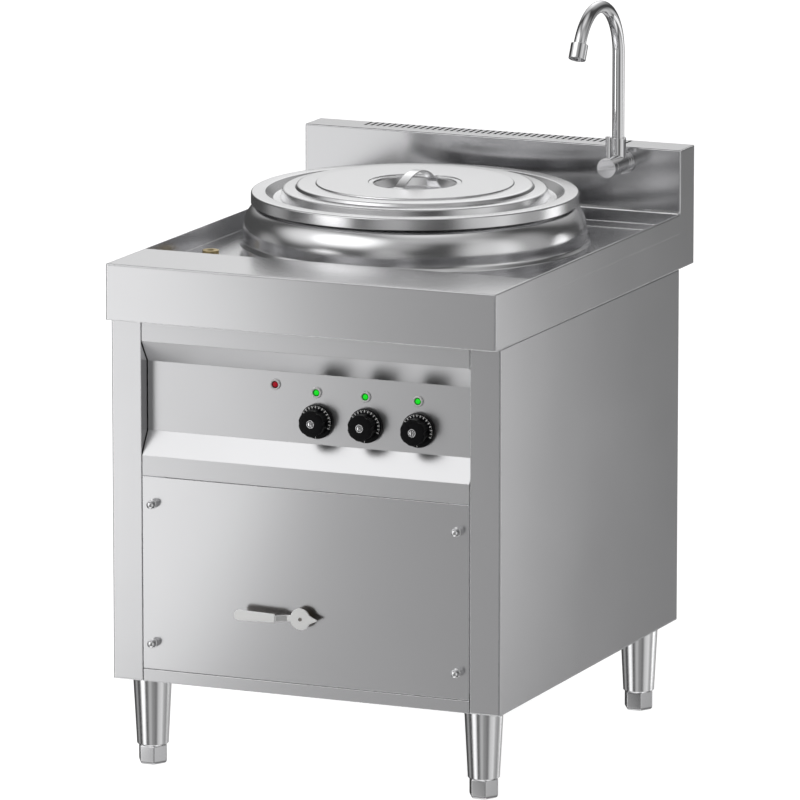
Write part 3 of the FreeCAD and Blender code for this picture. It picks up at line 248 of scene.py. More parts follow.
# The streaks darken and lighten the base colour a little
streak_part = add_node(grain, "ShaderNodeMath", {1: 0.5}, {0: streaks.outputs["Fac"]}, operation="SUBTRACT")
amount = add_node(grain, "ShaderNodeMath", {2: 1}, {0: streak_part.outputs[0], 1: wanted["Streak"]},
                  operation="MULTIPLY_ADD")
tinted = add_node(grain, "ShaderNodeVectorMath", None, {0: wanted["Base"], "Scale": amount.outputs[0]},
                  operation="SCALE")
# The clouds and the streaks both move the roughness
cloud_part = add_node(grain, "ShaderNodeMath", {1: 0.5}, {0: clouds.outputs["Fac"]}, operation="SUBTRACT")
both_parts = add_node(grain, "ShaderNodeMath", None, {0: streak_part.outputs[0], 1: cloud_part.outputs[0]},
                      operation="ADD")
rough = add_node(grain, "ShaderNodeMath", None,
                 {0: both_parts.outputs[0], 1: wanted["Rough range"], 2: wanted["Rough"]},
                 operation="MULTIPLY_ADD")
# Rounded edges: the bevel node rounds the normal at each fold
rounded = add_node(grain, "ShaderNodeBevel", None, {"Radius": wanted["Edge"]}, samples=6)
bump = add_node(grain, "ShaderNodeBump", {"Distance": 0.0004}, {
    "Strength": wanted["Bump"], "Height": streaks.outputs["Fac"], "Normal": rounded.outputs["Normal"]})
# Painted highlight: the colour is made brighter along each fold, where the rounded normal leaves the face's
# own
surface = grain.nodes.new("ShaderNodeNewGeometry")
along = add_node(grain, "ShaderNodeVectorMath", None,
                 {0: rounded.outputs["Normal"], 1: surface.outputs["Normal"]}, operation="DOT_PRODUCT")
painted_fold_highlight = add_node(grain, "ShaderNodeMapRange",
                   {"From Min": 0.97, "From Max": 0.85, "To Min": 1, "To Max": 1.5},
                   {"Value": along.outputs["Value"]})
fold_highlighted = add_node(grain, "ShaderNodeVectorMath", None,
                  {0: tinted.outputs[0], "Scale": painted_fold_highlight.outputs["Result"]}, operation="SCALE")
capped = add_node(grain, "ShaderNodeVectorMath", {1: (0.98, 0.98, 0.98)}, {0: fold_highlighted.outputs[0]},
                  operation="MINIMUM")
grain.links.new(capped.outputs[0], grain_out.inputs["Color"])
grain.links.new(rough.outputs[0], grain_out.inputs["Roughness"])
grain.links.new(bump.outputs["Normal"], grain_out.inputs["Normal"])
print("grain group has", len(grain.nodes), "nodes")

# %% [markdown]
# Each metal is one line: the stretch of its noise, its colour, how strong the streaks are, its roughness
# and how far that varies, the strength of its bump and the radius of its edges. The stretch is low along
# the streaks and high across them, so that LEVEL runs them round the upright walls and ACROSS runs them
# from side to side over a top. A stretch that is the same on all three axes gives soft clouds.

# %% Make the metals
def grouped_material(name, group, values):
    """A material that takes its colour, roughness and normal from a shared group."""
    material = bpy.data.materials.new(name)
    material.use_nodes = True
    tree = material.node_tree
    shader = tree.nodes["Principled BSDF"]
    holder = add_node(tree, "ShaderNodeGroup", values, node_tree=group)
    for output, place in (("Color", "Base Color"), ("Roughness", "Roughness"), ("Normal", "Normal")):
        tree.links.new(holder.outputs[output], shader.inputs[place])
    return material, shader


def metal(name, stretch, base, streak, rough, rough_range, bump, edge):
    """A metal whose colour, roughness and normal come from the grain group."""
    material, shader = grouped_material(name, grain, {
        "Stretch": stretch, "Base": (*base, 1), "Streak": streak, "Rough": rough,
        "Rough range": rough_range, "Bump": bump, "Edge": edge})
    shader.inputs["Metallic"].default_value = 1
    return material


LEVEL = (25, 25, 3200)
ACROSS = (25, 3200, 3200)
CLOUDED = (40, 40, 40)
MOTTLED = (60, 60, 60)
sheet_steel = metal("sheet_steel", LEVEL, (0.64, 0.64, 0.65), 0.03, 0.25, 0.05, 0.003, 0.0016)
panel_steel = metal("panel_steel", LEVEL, (0.64, 0.64, 0.65), 0.03, 0.21, 0.04, 0.002, 0.0016)
fascia_steel = metal("fascia_steel", LEVEL, (0.66, 0.66, 0.67), 0.03, 0.31, 0.05, 0.003, 0.0016)
worktop_steel = metal("worktop_steel", ACROSS, (0.68, 0.68, 0.69), 0.03, 0.24, 0.05, 0.003, 0.0026)
splash_steel = metal("splash_steel", ACROSS, (0.62, 0.62, 0.63), 0.03, 0.17, 0.04, 0.002, 0.0010)
polished_steel = metal("polished_steel", CLOUDED, (0.90, 0.90, 0.91), 0.03, 0.20, 0.04, 0.01, 0.0012)
foot_steel = metal("foot_steel", CLOUDED, (0.66, 0.66, 0.67), 0.03, 0.12, 0.04, 0.01, 0.0030)
leg_steel = metal("leg_steel", CLOUDED, (0.92, 0.92, 0.93), 0.03, 0.21, 0.04, 0.01, 0.0012)
satin_steel = metal("satin_steel", MOTTLED, (0.66, 0.66, 0.67), 0.03, 0.24, 0.04, 0.02, 0.001)
lid_steel = metal("lid_steel", MOTTLED, (0.82, 0.82, 0.83), 0.03, 0.24, 0.03, 0.01, 0.001)
dark_steel = metal("dark_steel", MOTTLED, (0.30, 0.28, 0.26), 0.15, 0.38, 0.10, 0.05, 0.0008)
brass = metal("brass", MOTTLED, (0.66, 0.52, 0.26), 0.10, 0.32, 0.08, 0.05, 0.0008)
cast_steel = metal("cast_steel", (200, 200, 200), (0.97, 0.97, 0.96), 0.04, 0.44, 0.06, 0.06, 0.0008)
zinc = metal("zinc", (30, 30, 30), (0.52, 0.54, 0.56), 0.25, 0.45, 0.15, 0.05, 0.0008)
chrome = metal("chrome", (50, 50, 50), (0.84, 0.84, 0.85), 0.02, 0.07, 0.03, 0.01, 0.0010)
print("materials so far:", len(bpy.data.materials))

# %% [markdown]
# The splashback is a hollow fold. Its inside is painted near black as shade, so the vent slots on top look
# black. The outside of the box is left alone: the mask holds only what lies within it.

# %% Paint shade into the splashback's inside
INSIDE_HALF_WIDTH = 0.3255
INSIDE_FRONT = 0.3458
INSIDE_BACK = 0.4066
INSIDE_TOP = 0.9027
tree = splash_steel.node_tree
position = tree.nodes.new("ShaderNodeTexCoord")
axes = add_node(tree, "ShaderNodeSeparateXYZ", None, {0: position.outputs["Object"]})
sideways = add_node(tree, "ShaderNodeMath", None, {0: axes.outputs["X"]}, operation="ABSOLUTE")


def within(source, operation, limit):
    """1 where the value passes the limit, and 0 elsewhere."""
    return add_node(tree, "ShaderNodeMath", {1: limit}, {0: source}, operation=operation).outputs[0]


inside = within(sideways.outputs[0], "LESS_THAN", INSIDE_HALF_WIDTH)
for source, operation, limit in (
        (axes.outputs["Y"], "GREATER_THAN", INSIDE_FRONT), (axes.outputs["Y"], "LESS_THAN", INSIDE_BACK),
        (axes.outputs["Z"], "LESS_THAN", INSIDE_TOP)):
    held = within(source, operation, limit)
    inside = add_node(tree, "ShaderNodeMath", None, {0: inside, 1: held}, operation="MULTIPLY").outputs[0]
shader = tree.nodes["Principled BSDF"]
bright = shader.inputs["Base Color"].links[0].from_socket
# Painted shade: inside the mask the colour turns near black, for the dark hollow behind the slots
painted_inside_shade = add_node(tree, "ShaderNodeMixRGB", {"Color2": (0.02, 0.02, 0.02, 1)},
                  {"Fac": inside, "Color1": bright})
tree.links.new(painted_inside_shade.outputs["Color"], shader.inputs["Base Color"])
print("splash_steel has", len(tree.nodes), "nodes")

# %% [markdown]
# ## Plastic and lenses
# The knobs are glossy black mouldings, the relays and terminals grey ones. Both get a faint mould texture.
# The lamp lenses glow where they are lit.

# %% Build the moulding group
moulding, moulding_in, moulding_out = new_group(
    "moulding",
    [("Base", "NodeSocketColor", (0.02, 0.02, 0.02, 1)), ("Rough", "NodeSocketFloat", 0.3),
     ("Edge", "NodeSocketFloat", 0.001)],
    SURFACE_OUTPUTS,
)
wanted = moulding_in.outputs
coordinates = moulding.nodes.new("ShaderNodeTexCoord").outputs["Object"]
speckle = add_node(moulding, "ShaderNodeTexNoise", {"Scale": 900, "Detail": 2}, {"Vector": coordinates})
smudge = add_node(moulding, "ShaderNodeTexNoise", {"Scale": 60}, {"Vector": coordinates})
shade = add_node(moulding, "ShaderNodeMapRange", {"To Min": 0.85, "To Max": 1.15},
                 {"Value": smudge.outputs["Fac"]})
tinted = add_node(moulding, "ShaderNodeVectorMath", None, {0: wanted["Base"], "Scale": shade.outputs[0]},
                  operation="SCALE")
rough = add_node(moulding, "ShaderNodeMath", None, {0: shade.outputs[0], 1: wanted["Rough"]},
                 operation="MULTIPLY")
rounded = add_node(moulding, "ShaderNodeBevel", None, {"Radius": wanted["Edge"]}, samples=6)
bump = add_node(moulding, "ShaderNodeBump", {"Strength": 0.06, "Distance": 0.0002},
                {"Height": speckle.outputs["Fac"], "Normal": rounded.outputs["Normal"]})
moulding.links.new(tinted.outputs[0], moulding_out.inputs["Color"])
moulding.links.new(rough.outputs[0], moulding_out.inputs["Roughness"])
moulding.links.new(bump.outputs["Normal"], moulding_out.inputs["Normal"])
print("moulding group has", len(moulding.nodes), "nodes")

# %% Make the mouldings and the lenses
def plastic(name, base, rough, edge=0.001, specular=0.5):
    """A plastic whose colour, roughness and normal come from the moulding group."""
    material, shader = grouped_material(name, moulding, {"Base": (*base, 1), "Rough": rough, "Edge": edge})
    shader.inputs["Specular IOR Level"].default_value = specular
    return material


def lens_glass(name, base, rim, core, strength):
    """A coloured lens whose lamp shows as a bright core that fades to the rim."""
    material = plastic(name, base, 0.12, 0.0012, specular=0.2)
    tree = material.node_tree
    shader = tree.nodes["Principled BSDF"]
    edge_on = add_node(tree, "ShaderNodeLayerWeight", {"Blend": 0.55})
    colours = add_node(tree, "ShaderNodeMixRGB", {"Color1": (*core, 1), "Color2": (*rim, 1)},
                       {"Fac": edge_on.outputs["Facing"]})
    tree.links.new(colours.outputs["Color"], shader.inputs["Emission Color"])
    shader.inputs["Emission Strength"].default_value = strength
    return material


black_plastic = plastic("black_plastic", (0.005, 0.005, 0.006), 0.28, specular=0.12)
grey_plastic = plastic("grey_plastic", (0.42, 0.43, 0.43), 0.5)
white_print = plastic("white_print", (0.95, 0.95, 0.94), 0.5, 0.0002)
pale_ring = plastic("pale_ring", (0.93, 0.93, 0.92), 0.22, 0.0005, specular=0.8)
green_lens = lens_glass("green_lens", (0.004, 0.16, 0.012), (0.0, 0.10, 0.004), (0.010, 0.85, 0.02), 0.88)
red_lens = lens_glass("red_lens", (0.04, 0.002, 0.003), (0.02, 0.0, 0.0), (0.75, 0.01, 0.03), 0.45)
print("materials in all:", len(bpy.data.materials))

# %% [markdown]
# ## Dress the frame's own pieces
# Where the frame's shape is right, the piece only needs its finish. Each node is given the material of the
# sheet, tube or moulding that it is on the real boiler. The other nodes are replaced further down.

# %% Give each node its finish
FINISHES = {
    "worktop": worktop_steel,
    "splashback": splash_steel,
    "side_panel_left": sheet_steel,
    "side_panel_right": sheet_steel,
    "back_panel": sheet_steel,
    "base_pan": sheet_steel,
    "control_fascia": fascia_steel,
    "access_panel": panel_steel,
    "pot": satin_steel,
    "lid_handle": polished_steel,
    "legs": leg_steel,
    "heating_elements": dark_steel,
    "drain_pipe": satin_steel,
    "outlet_pipe": satin_steel,
    "valve_body": brass,
    "valve_plug": brass,
    "tap_back_nut": brass,
    "tray_drain": brass,
    "tap_body": chrome,
    "tap_handle": chrome,
    "spout": chrome,
    "aerator": chrome,
    "tray_supports": zinc,
    "base_rails": zinc,
    "mounting_strips": zinc,
    "electrics_plate": zinc,
    "cable_gland": black_plastic,
    "thermostats": grey_plastic,
    "contactors": grey_plastic,
    "terminal_block": grey_plastic,
}
for node_name, finish in FINISHES.items():
    for material_slot in nodes[node_name].material_slots:
        material_slot.material = finish
print("nodes to replace:", sorted(set(nodes) - set(FINISHES)))

# %% [markdown]
# ## Tools for turned and cut pieces
# Most of the added pieces are round. One line of points is drawn by extruding a single vertex, and then
# spun. A real press or lathe leaves no sharp corner, so a bevel that works on the sharp edges alone rounds
# them.

# %% Define the modelling steps
SHARP_ANGLE = 25


def arc(centre, radius, start, end, steps, rise=None):
    """Points on an arc in the plane of a profile, from one angle to another in degrees.
    With a rise of its own it is a stretch of an ellipse."""
    turns = [math.radians(start + (end - start) * number / steps) for number in range(steps + 1)]
    rise = rise or radius
    return [(centre[0] + radius * math.cos(turn), centre[1] + rise * math.sin(turn)) for turn in turns]


def start_line(name, points):
    """Extrude one vertex from point to point and stay in edit mode with all selected."""
    bpy.ops.mesh.primitive_plane_add(size=0.01, location=(0, 0, 0))
    piece = bpy.context.object
    piece.name = name
    bpy.ops.object.mode_set(mode="EDIT")
    bpy.ops.mesh.merge(type="CENTER")
    bpy.ops.transform.translate(value=points[0])
    for before, after in zip(points, points[1:]):
        step = Vector(after) - Vector(before)
        bpy.ops.mesh.extrude_region_move(TRANSFORM_OT_translate={"value": step})
    bpy.ops.mesh.select_all(action="SELECT")
    return piece


def turned(name, points, centre=(0, 0, 0), steps=96):
    """Spin (radius, height) points about an upright axis, and stay in edit mode."""
    line = [(centre[0] + radius, centre[1], centre[2] + height) for radius, height in points]
    piece = start_line(name, line)
    bpy.ops.mesh.spin(steps=steps, angle=math.tau, center=centre, axis=(0, 0, 1))
    bpy.ops.mesh.select_all(action="SELECT")
    bpy.ops.mesh.remove_doubles(threshold=0.00001)
    bpy.ops.mesh.normals_make_consistent(inside=False)
    return piece


def settle(place, to_front=False):
    """Shift the selected mesh to its place and leave edit mode.
    With to_front it is first turned about the origin, so that its top faces the front."""
    if to_front:
        bpy.ops.transform.rotate(value=math.radians(-90), orient_axis="X", center_override=(0, 0, 0))
    bpy.ops.transform.translate(value=place)
    bpy.ops.object.mode_set(mode="OBJECT")


def pick(*pieces):
    """Select these pieces alone, with the first one active."""
    bpy.ops.object.select_all(action="DESELECT")
    for piece in pieces:
        piece.select_set(True)
    bpy.context.view_layer.objects.active = pieces[0]


def edit_whole(piece):
    """Enter edit mode with the whole mesh selected."""
    pick(piece)
    bpy.ops.object.mode_set(mode="EDIT")
    bpy.ops.mesh.select_all(action="SELECT")


def join(name, *pieces):
    """Make one piece of several."""
    pick(*pieces)
    if len(pieces) > 1:
        bpy.ops.object.join()
    pieces[0].name = name
    return pieces[0]


def apply_modifier(piece, kind, **settings):
    """Add a modifier to the active piece, set it and apply it."""
    bpy.ops.object.modifier_add(type=kind)
    modifier = piece.modifiers[-1]
    for name, value in settings.items():
        setattr(modifier, name, value)
    bpy.ops.object.modifier_apply(modifier=modifier.name)


def finish_piece(piece, body, material, bevel=0, smooth=35):
    """Round the sharp edges, smooth the rest, and hang the piece on its body."""
    if bpy.context.mode != "OBJECT":
        bpy.ops.object.mode_set(mode="OBJECT")
    pick(piece)
    bpy.ops.object.transform_apply(location=True, rotation=True, scale=True)
    if bevel:
        apply_modifier(piece, "BEVEL", width=bevel, segments=2, limit_method="ANGLE",
                       angle_limit=math.radians(SHARP_ANGLE))
    bpy.ops.object.shade_smooth_by_angle(angle=math.radians(smooth))
    apply_modifier(piece, "WEIGHTED_NORMAL", keep_sharp=True)
    piece.data.materials.clear()
    piece.data.materials.append(material)
    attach(piece, body)
    piece.select_set(False)
    print(piece.name, "has", len(piece.data.polygons), "faces")


# %% [markdown]
# ## The drum and the lid
# The drum is spun over a former: a short straight wall, a high round shoulder and a small bead at the foot,
# where it is welded to the tray. The shoulder is a quarter of an ellipse, so it mirrors the studio as one
# broad clean band.

# %% Turn the drum
POT_AXIS = (0, 0.039, 0)
DRUM_SHEET = 0.0015
SHOULDER_CENTRE = (0.2387, 0.8030)
SHOULDER_REACH = 0.0325
SHOULDER_RISE = 0.0450
drum_profile = [(0.2697, 0.7700), (0.2712, 0.7700), (0.2712, 0.7820), (0.2764, 0.7834), (0.2757, 0.7858)]
drum_profile += [(0.2724, 0.7884), (0.2714, 0.7920), (0.2712, 0.7980)]
drum_profile += arc(SHOULDER_CENTRE, SHOULDER_REACH, 0, 90, 20, rise=SHOULDER_RISE)
drum_profile += arc(SHOULDER_CENTRE, SHOULDER_REACH - DRUM_SHEET, 90, 0, 10, rise=SHOULDER_RISE - DRUM_SHEET)
drum_profile += drum_profile[:1]
drum = turned("drum_shell", drum_profile, POT_AXIS, 160)
finish_piece(drum, "cabinet", polished_steel, smooth=40)
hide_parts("drum")

# %% [markdown]
# The lid is one pressing. Its rim folds down into a skirt, a trough drops inside the pot's mouth, the crown
# rises in steps to the disc, and the bowl in the middle gives room for fingers under the strap.

# %% Turn the lid
lid_top = [(0.2565, 0.8478), (0.2580, 0.8475)]
lid_top += arc((0.2550, 0.8625), 0.003, 0, 90, 5)
lid_top += [(0.2365, 0.8655), (0.2345, 0.8648), (0.2238, 0.8546), (0.2220, 0.8540), (0.2136, 0.8540)]
lid_top += [(0.2122, 0.8546), (0.2086, 0.8692), (0.2066, 0.8706), (0.2040, 0.8710), (0.1896, 0.8710)]
lid_top += [(0.1882, 0.8714), (0.1858, 0.8756), (0.1840, 0.8766), (0.1820, 0.8770), (0.1572, 0.8770)]
lid_top += [(0.1564, 0.8772), (0.1554, 0.8790), (0.1545, 0.8795), (0.0748, 0.8795), (0.0740, 0.8793)]
lid_top += [(0.0732, 0.8780), (0.0724, 0.8776), (0.0662, 0.8775)]
lid_top += arc((0.0500, 0.8795), 0.0160, -10, -90, 8)
lid_top += [(0.0250, 0.8634), (0, 0.8633)]
lid_under = [(0, 0.8621), (0.0495, 0.8621), (0.0660, 0.8756), (0.1830, 0.8756), (0.1870, 0.8698)]
lid_under += [(0.2055, 0.8698), (0.2060, 0.8527), (0.2236, 0.8527), (0.2350, 0.8640), (0.2565, 0.8640)]
lid = turned("lid_pressing", lid_top + lid_under + lid_top[:1], POT_AXIS, 160)
finish_piece(lid, "lid", lid_steel, smooth=28)
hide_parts("lid")

# %% [markdown]
# ## The knobs
# Each knob has a round skirt with the scale, a grip with six shallow flutes, and a chrome screw with a slot
# in the middle of its face. Thirteen strokes mark the steps, with a dot between two of them, and one more
# stroke stands at the foot. The knob is built lying on its back at the origin, where it is round about Z,
# and is then stood up at its spindle.

# %% Define the knob's pieces
KNOB_HEIGHT = 0.028
KNOB_RADIUS = 0.027
DIAL_HEIGHT = 0.008
FLUTES = 6
FIRST_FLUTE = 30
FLUTE_RADIUS = 0.008
FLUTE_LENGTH = 0.030
FLUTE_MIDDLE = 0.024
MARKS = 25
FIRST_ANGLE = -56
STEP_ANGLE = 7
STROKE_REACH = 0.0235
STROKE_SIZE = (0.0019, 0.0037, 0.0004)
DOT_REACH = 0.0247
DOT_SIZE = (0.0008, 0.0010, 0.0004)
FOOT_STROKE_REACH = 0.0242
FOOT_STROKE_SIZE = (0.0009, 0.0034, 0.0003)
SCREW_FOOT = 0.027
HALF_SLOT = 0.0007


def build_grip(name, place):
    """The skirt and the grip, turned in one and cut by round cutters."""
    profile = [(0, 0), (0.0262, 0), (KNOB_RADIUS, 0.0008), (KNOB_RADIUS, 0.0052), (0.0256, DIAL_HEIGHT)]
    profile += [(0.0212, DIAL_HEIGHT), (0.0208, 0.0094), (0.0206, 0.0262), (0.0190, 0.0278)]
    profile += [(0.0140, KNOB_HEIGHT), (0, 0.0278)]
    knob = turned(name + "_grip", profile)
    bpy.ops.object.mode_set(mode="OBJECT")
    cutters = []
    for number in range(FLUTES):
        angle = math.radians(FIRST_FLUTE + 360 / FLUTES * number)
        middle = (KNOB_RADIUS * math.sin(angle), KNOB_RADIUS * math.cos(angle), FLUTE_MIDDLE)
        bpy.ops.mesh.primitive_cylinder_add(
            vertices=40, radius=FLUTE_RADIUS, depth=FLUTE_LENGTH, location=middle)
        cutters.append(bpy.context.object)
    cutter = join("flute_cutter", *cutters)
    pick(knob)
    apply_modifier(knob, "BOOLEAN", operation="DIFFERENCE", object=cutter, solver="EXACT")
    bpy.data.objects.remove(cutter)
    edit_whole(knob)
    settle(place, to_front=True)
    finish_piece(knob, name, black_plastic, bevel=0.0006, smooth=30)
    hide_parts(name)


def build_scale(name, place):
    """Long strokes, dots between them, and one stroke at the foot."""
    marks = []
    for step in range(MARKS):
        reach, size = (DOT_REACH, DOT_SIZE) if step % 2 else (STROKE_REACH, STROKE_SIZE)
        marks.append((math.radians(FIRST_ANGLE + step * STEP_ANGLE), reach, size))
    marks.append((math.pi, FOOT_STROKE_REACH, FOOT_STROKE_SIZE))
    strokes = []
    for angle, reach, size in marks:
        middle = (reach * math.sin(angle), reach * math.cos(angle), DIAL_HEIGHT)
        bpy.ops.mesh.primitive_cube_add(size=1, location=middle, rotation=(0, 0, -angle))
        bpy.context.object.scale = size
        strokes.append(bpy.context.object)
    scale_marks = join(name + "_scale", *strokes)
    bpy.ops.object.transform_apply(location=True, rotation=True, scale=True)
    edit_whole(scale_marks)
    settle(place, to_front=True)
    finish_piece(scale_marks, name, white_print)


def build_screw(name, place):
    """A screw head in two halves with the slot between them, and a collar round it."""
    head_line = [(0, SCREW_FOOT), (0.0041, SCREW_FOOT), (0.0041, 0.0284), (0.0034, 0.0288), (0, 0.0289)]
    screw = turned(name + "_screw", head_line, steps=32)
    bpy.ops.mesh.bisect(plane_co=(HALF_SLOT, 0, 0), plane_no=(1, 0, 0), clear_inner=True, use_fill=True)
    bpy.ops.mesh.select_all(action="SELECT")
    bpy.ops.mesh.duplicate()
    bpy.ops.transform.rotate(value=math.pi, orient_axis="Z", center_override=(0, 0, 0))
    bpy.ops.mesh.select_all(action="SELECT")
    bpy.ops.mesh.normals_make_consistent(inside=False)
    settle(place, to_front=True)
    collar_line = [(0.0050, SCREW_FOOT), (0.0064, SCREW_FOOT), (0.0064, 0.0283), (0.0060, 0.0287)]
    collar_line += [(0.0053, 0.0286), (0.0050, 0.0282), (0.0050, SCREW_FOOT)]
    collar = turned("collar", collar_line, steps=40)
    settle(place, to_front=True)
    screw = join(name + "_screw", screw, collar)
    finish_piece(screw, name, chrome, bevel=0.00025, smooth=30)


# %% Build the knobs
knob_columns = []
for knob_name in ("knob_left", "knob_middle", "knob_right"):
    low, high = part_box(knob_name)
    seat = ((low[0] + high[0]) / 2, low[1] + KNOB_HEIGHT, (low[2] + high[2]) / 2)
    knob_columns.append(seat[0])
    build_grip(knob_name, seat)
    build_scale(knob_name, seat)
    build_screw(knob_name, seat)

# %% [markdown]
# ## Nuts and lamps
# The access panel hangs on four acorn nuts: a hexagon with a closed round cap, so that no thread shows.
# Each lamp has a rounded ring, a domed lens, and between them a black ring of painted shade for the gap. The
# green ones stand over the knobs.

# %% Build the acorn nuts
NUT_RADIUS = 0.00808
NUT_DEPTH = 0.0065
CAP_RADIUS = 0.0062
CAP_FOOT = 0.0125
NUT_COLUMNS = (-0.2558, 0.2558)
NUT_ROWS = (0.2035, 0.4240)
panel_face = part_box("access_panel")[0][1]


def build_nut(place):
    """A hexagon and the round cap on it."""
    bpy.ops.mesh.primitive_cylinder_add(
        vertices=6, radius=NUT_RADIUS, depth=NUT_DEPTH, location=(0, 0, NUT_DEPTH / 2))
    hexagon = bpy.context.object
    bpy.ops.object.transform_apply()
    edit_whole(hexagon)
    settle(place, to_front=True)
    cap_line = [(0.0066, 0.0060), (0.0066, 0.0075), (CAP_RADIUS, 0.0080), (CAP_RADIUS, CAP_FOOT)]
    cap_line += arc((0, CAP_FOOT), CAP_RADIUS, 0, 90, 8)
    cap = turned("cap", cap_line, steps=40)
    settle(place, to_front=True)
    return join("nut", hexagon, cap)


nuts = []
for nut_x in NUT_COLUMNS:
    for nut_z in NUT_ROWS:
        nuts.append(build_nut((nut_x, panel_face, nut_z)))
acorn_nuts = join("acorn_nuts", *nuts)
finish_piece(acorn_nuts, "cabinet", polished_steel, bevel=0.0005, smooth=30)
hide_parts("cap_nuts")

# %% Build the lamps
LENS_RADIUS = 0.0060
GREEN_SHIFT = -0.002
field_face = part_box("lamp_bezels")[1][1]
green_low, green_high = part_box("green_lamps")
green_row = (green_low[2] + green_high[2]) / 2
red_low, red_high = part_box("red_lamp")
red_place = (red_high[0] - LENS_RADIUS, field_face, (red_low[2] + red_high[2]) / 2)
ring_line = [(0.0054, 0.0004), (0.0085, 0), (0.0085, 0.0012)]
ring_line += arc((0.0070, 0.0016), 0.0015, 0, 180, 10) + [(0.0054, 0.0010), (0.0054, 0.0004)]
lens_line = [(0, -0.0240), (0.0055, -0.0240), (LENS_RADIUS, -0.0235), (LENS_RADIUS, 0), (0.0054, 0.0006)]
lens_line += [(0.0045, 0.0010), (0.0043, 0.0020), (0.0034, 0.0029), (0.0018, 0.0034), (0, 0.0035)]
shadow_ring_line = [(0.0045, 0.0006), (0.0055, 0.0006), (0.0055, 0.0015), (0.0052, 0.0018), (0.0047, 0.0017)]
shadow_ring_line += [(0.0045, 0.0014), (0.0045, 0.0006)]


def turned_set(name, line, places, steps):
    """The same turned piece at several places, in one mesh."""
    copies = []
    for place in places:
        copies.append(turned(name, line, steps=steps))
        settle(place, to_front=True)
    return join(name, *copies)


green_places = [(column + GREEN_SHIFT, field_face, green_row) for column in knob_columns]
lamp_places = green_places + [red_place]
green_lamps = turned_set("green_lamps_domed", lens_line, green_places, 32)
finish_piece(green_lamps, "cabinet", green_lens, smooth=50)
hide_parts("green_lamps")
red_lamp = turned_set("red_lamp_domed", lens_line, [red_place], 32)
finish_piece(red_lamp, "cabinet", red_lens, smooth=50)
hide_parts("red_lamp")
lamp_rings = turned_set("lamp_rings", ring_line, lamp_places, 48)
finish_piece(lamp_rings, "cabinet", pale_ring, smooth=40)
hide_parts("lamp_bezels")
# Painted shade: a black ring stands for the shadow gap between each lamp ring and its lens
lamp_shadow_rings = turned_set("lamp_shadow_rings", shadow_ring_line, lamp_places, 32)
finish_piece(lamp_shadow_rings, "cabinet", black_plastic, smooth=40)

# %% [markdown]
# ## The drain lever
# The lever is cut from plate: a round head with a pointer, a neck, a crank away from the panel and a grip
# that ends round. It is drawn as flat outlines that are filled and extruded. Its face was ground bright.
# Its back is painted dark, as shade, so that the panel mirrors a dark copy of the lever. A rivet holds it on
# its stem.

# %% Cut the lever
PLATE = 0.003
HEAD_RADIUS = 0.0170
GRIP_RADIUS = 0.0085
CRANK_WIDTH = 0.0094
BACK_FACING = 0.3
lever_low, lever_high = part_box("drain_lever")
grip_face = lever_low[1]
head_face = lever_high[1] - PLATE
plug_low, plug_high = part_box("valve_plug")
pivot_x = (plug_low[0] + plug_high[0]) / 2
pivot_z = (plug_low[2] + plug_high[2]) / 2


def cut_plate(name, outline, sweep):
    """A plate from an outline about the pivot, pushed out along the sweep."""
    piece = start_line(name, outline)
    bpy.ops.mesh.edge_face_add()
    bpy.ops.mesh.extrude_region_move(TRANSFORM_OT_translate={"value": sweep})
    bpy.ops.mesh.select_all(action="SELECT")
    bpy.ops.mesh.normals_make_consistent(inside=False)
    settle((pivot_x, 0, pivot_z))
    return piece


head_line = [(0.0280, 0.0008), (0.0236, 0.0028), (0.0192, 0.0048)] + arc((0, 0), HEAD_RADIUS, 24, 163, 22)
head_line += [(-0.0240, 0.0046), (-0.0240, -0.0046)] + arc((0, 0), HEAD_RADIUS, 197, 336, 22)
head_line += [(0.0192, -0.0048), (0.0236, -0.0028), (0.0280, -0.0008)]
head = cut_plate("lever_head", [(x, head_face, z) for x, z in head_line], (0, PLATE, 0))
grip_line = arc((-0.0400, 0.0047), 0.0020, 0, 90, 4) + arc((-0.0990, 0), GRIP_RADIUS, 90, 270, 16)
grip_line += arc((-0.0400, -0.0047), 0.0020, 270, 360, 4)
grip = cut_plate("lever_grip", [(x, grip_face, z) for x, z in grip_line], (0, PLATE, 0))
crank_line = [
    (-0.0220, head_face, -0.0044), (-0.0365, grip_face, -0.0050), (-0.0400, grip_face, -0.0050),
    (-0.0400, grip_face + PLATE, -0.0050), (-0.0375, grip_face + PLATE, -0.0050),
    (-0.0230, head_face + PLATE, -0.0044)]
crank = cut_plate("lever_crank", crank_line, (0, 0, CRANK_WIDTH))
lever = join("lever_plate", head, grip, crank)
finish_piece(lever, "drain_valve", cast_steel, bevel=0.0007, smooth=35)
# Painted shade: the faces that look back at the panel get dark steel, for the panel to mirror
lever.data.materials.append(dark_steel)
for face in lever.data.polygons:
    if face.normal.y > BACK_FACING:
        face.material_index = 1
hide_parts("drain_lever")

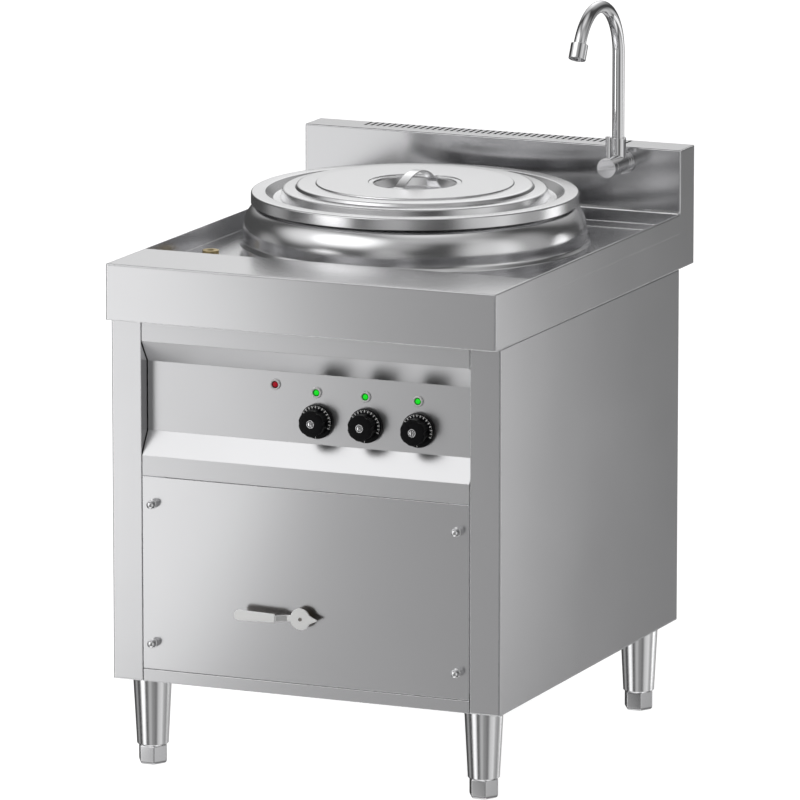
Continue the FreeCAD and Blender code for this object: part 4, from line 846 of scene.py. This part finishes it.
# %% Build the rivet
rivet_line = [(0, 0), (0.0030, 0), (0.0030, 0.0004), (0.0025, 0.0009), (0.0014, 0.0009), (0.0011, 0.0002)]
rivet = turned("lever_rivet", rivet_line + [(0, 0.0002)], steps=32)
settle((pivot_x, head_face, pivot_z), to_front=True)
finish_piece(rivet, "drain_valve", dark_steel, smooth=30)

# %% [markdown]
# ## The feet
# Each foot is a hexagon, so that a spanner can turn it, with a rounded sole and a stud that screws up into
# the leg.

# %% Build the feet
HEXAGON_HEIGHT = 0.030
SOLE_ROUNDING = 0.0055
STUD_RADIUS = 0.0060
STUD_FOOT = 0.0295
STUD_CHAMFER = 0.0008


def build_foot(foot_name):
    """A hexagon with its corners to the sides, and the stud on it."""
    low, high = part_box(foot_name)
    middle = ((low[0] + high[0]) / 2, (low[1] + high[1]) / 2, 0)
    bpy.ops.mesh.primitive_cylinder_add(
        vertices=6, radius=(high[1] - low[1]) / math.sqrt(3), depth=HEXAGON_HEIGHT,
        location=(0, 0, HEXAGON_HEIGHT / 2), rotation=(0, 0, math.radians(30)))
    hexagon = bpy.context.object
    bpy.ops.object.transform_apply(location=True, rotation=True, scale=True)
    # The sole's edges alone are selected for the bevel
    on_sole = [vertex.co.z < HEXAGON_HEIGHT / 2 for vertex in hexagon.data.vertices]
    for vertex in hexagon.data.vertices:
        vertex.select = on_sole[vertex.index]
    for edge in hexagon.data.edges:
        edge.select = all(on_sole[number] for number in edge.vertices)
    for face in hexagon.data.polygons:
        face.select = all(on_sole[number] for number in face.vertices)
    bpy.ops.object.mode_set(mode="EDIT")
    bpy.ops.mesh.select_mode(type="EDGE")
    bpy.ops.mesh.bevel(offset=SOLE_ROUNDING, segments=5)
    bpy.ops.mesh.select_mode(type="VERT")
    bpy.ops.mesh.select_all(action="SELECT")
    settle(middle)
    stud_line = [(STUD_RADIUS, STUD_FOOT), (STUD_RADIUS, high[2] - STUD_CHAMFER)]
    stud_line += [(STUD_RADIUS - STUD_CHAMFER, high[2]), (0, high[2])]
    stud = turned("stud", stud_line, steps=24)
    settle(middle)
    foot = join(foot_name + "_hexagon", hexagon, stud)
    finish_piece(foot, foot_name, foot_steel, bevel=0.0010, smooth=40)
    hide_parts(foot_name)


for end in ("front", "back"):
    for hand in ("left", "right"):
        build_foot(f"foot_{end}_{hand}")
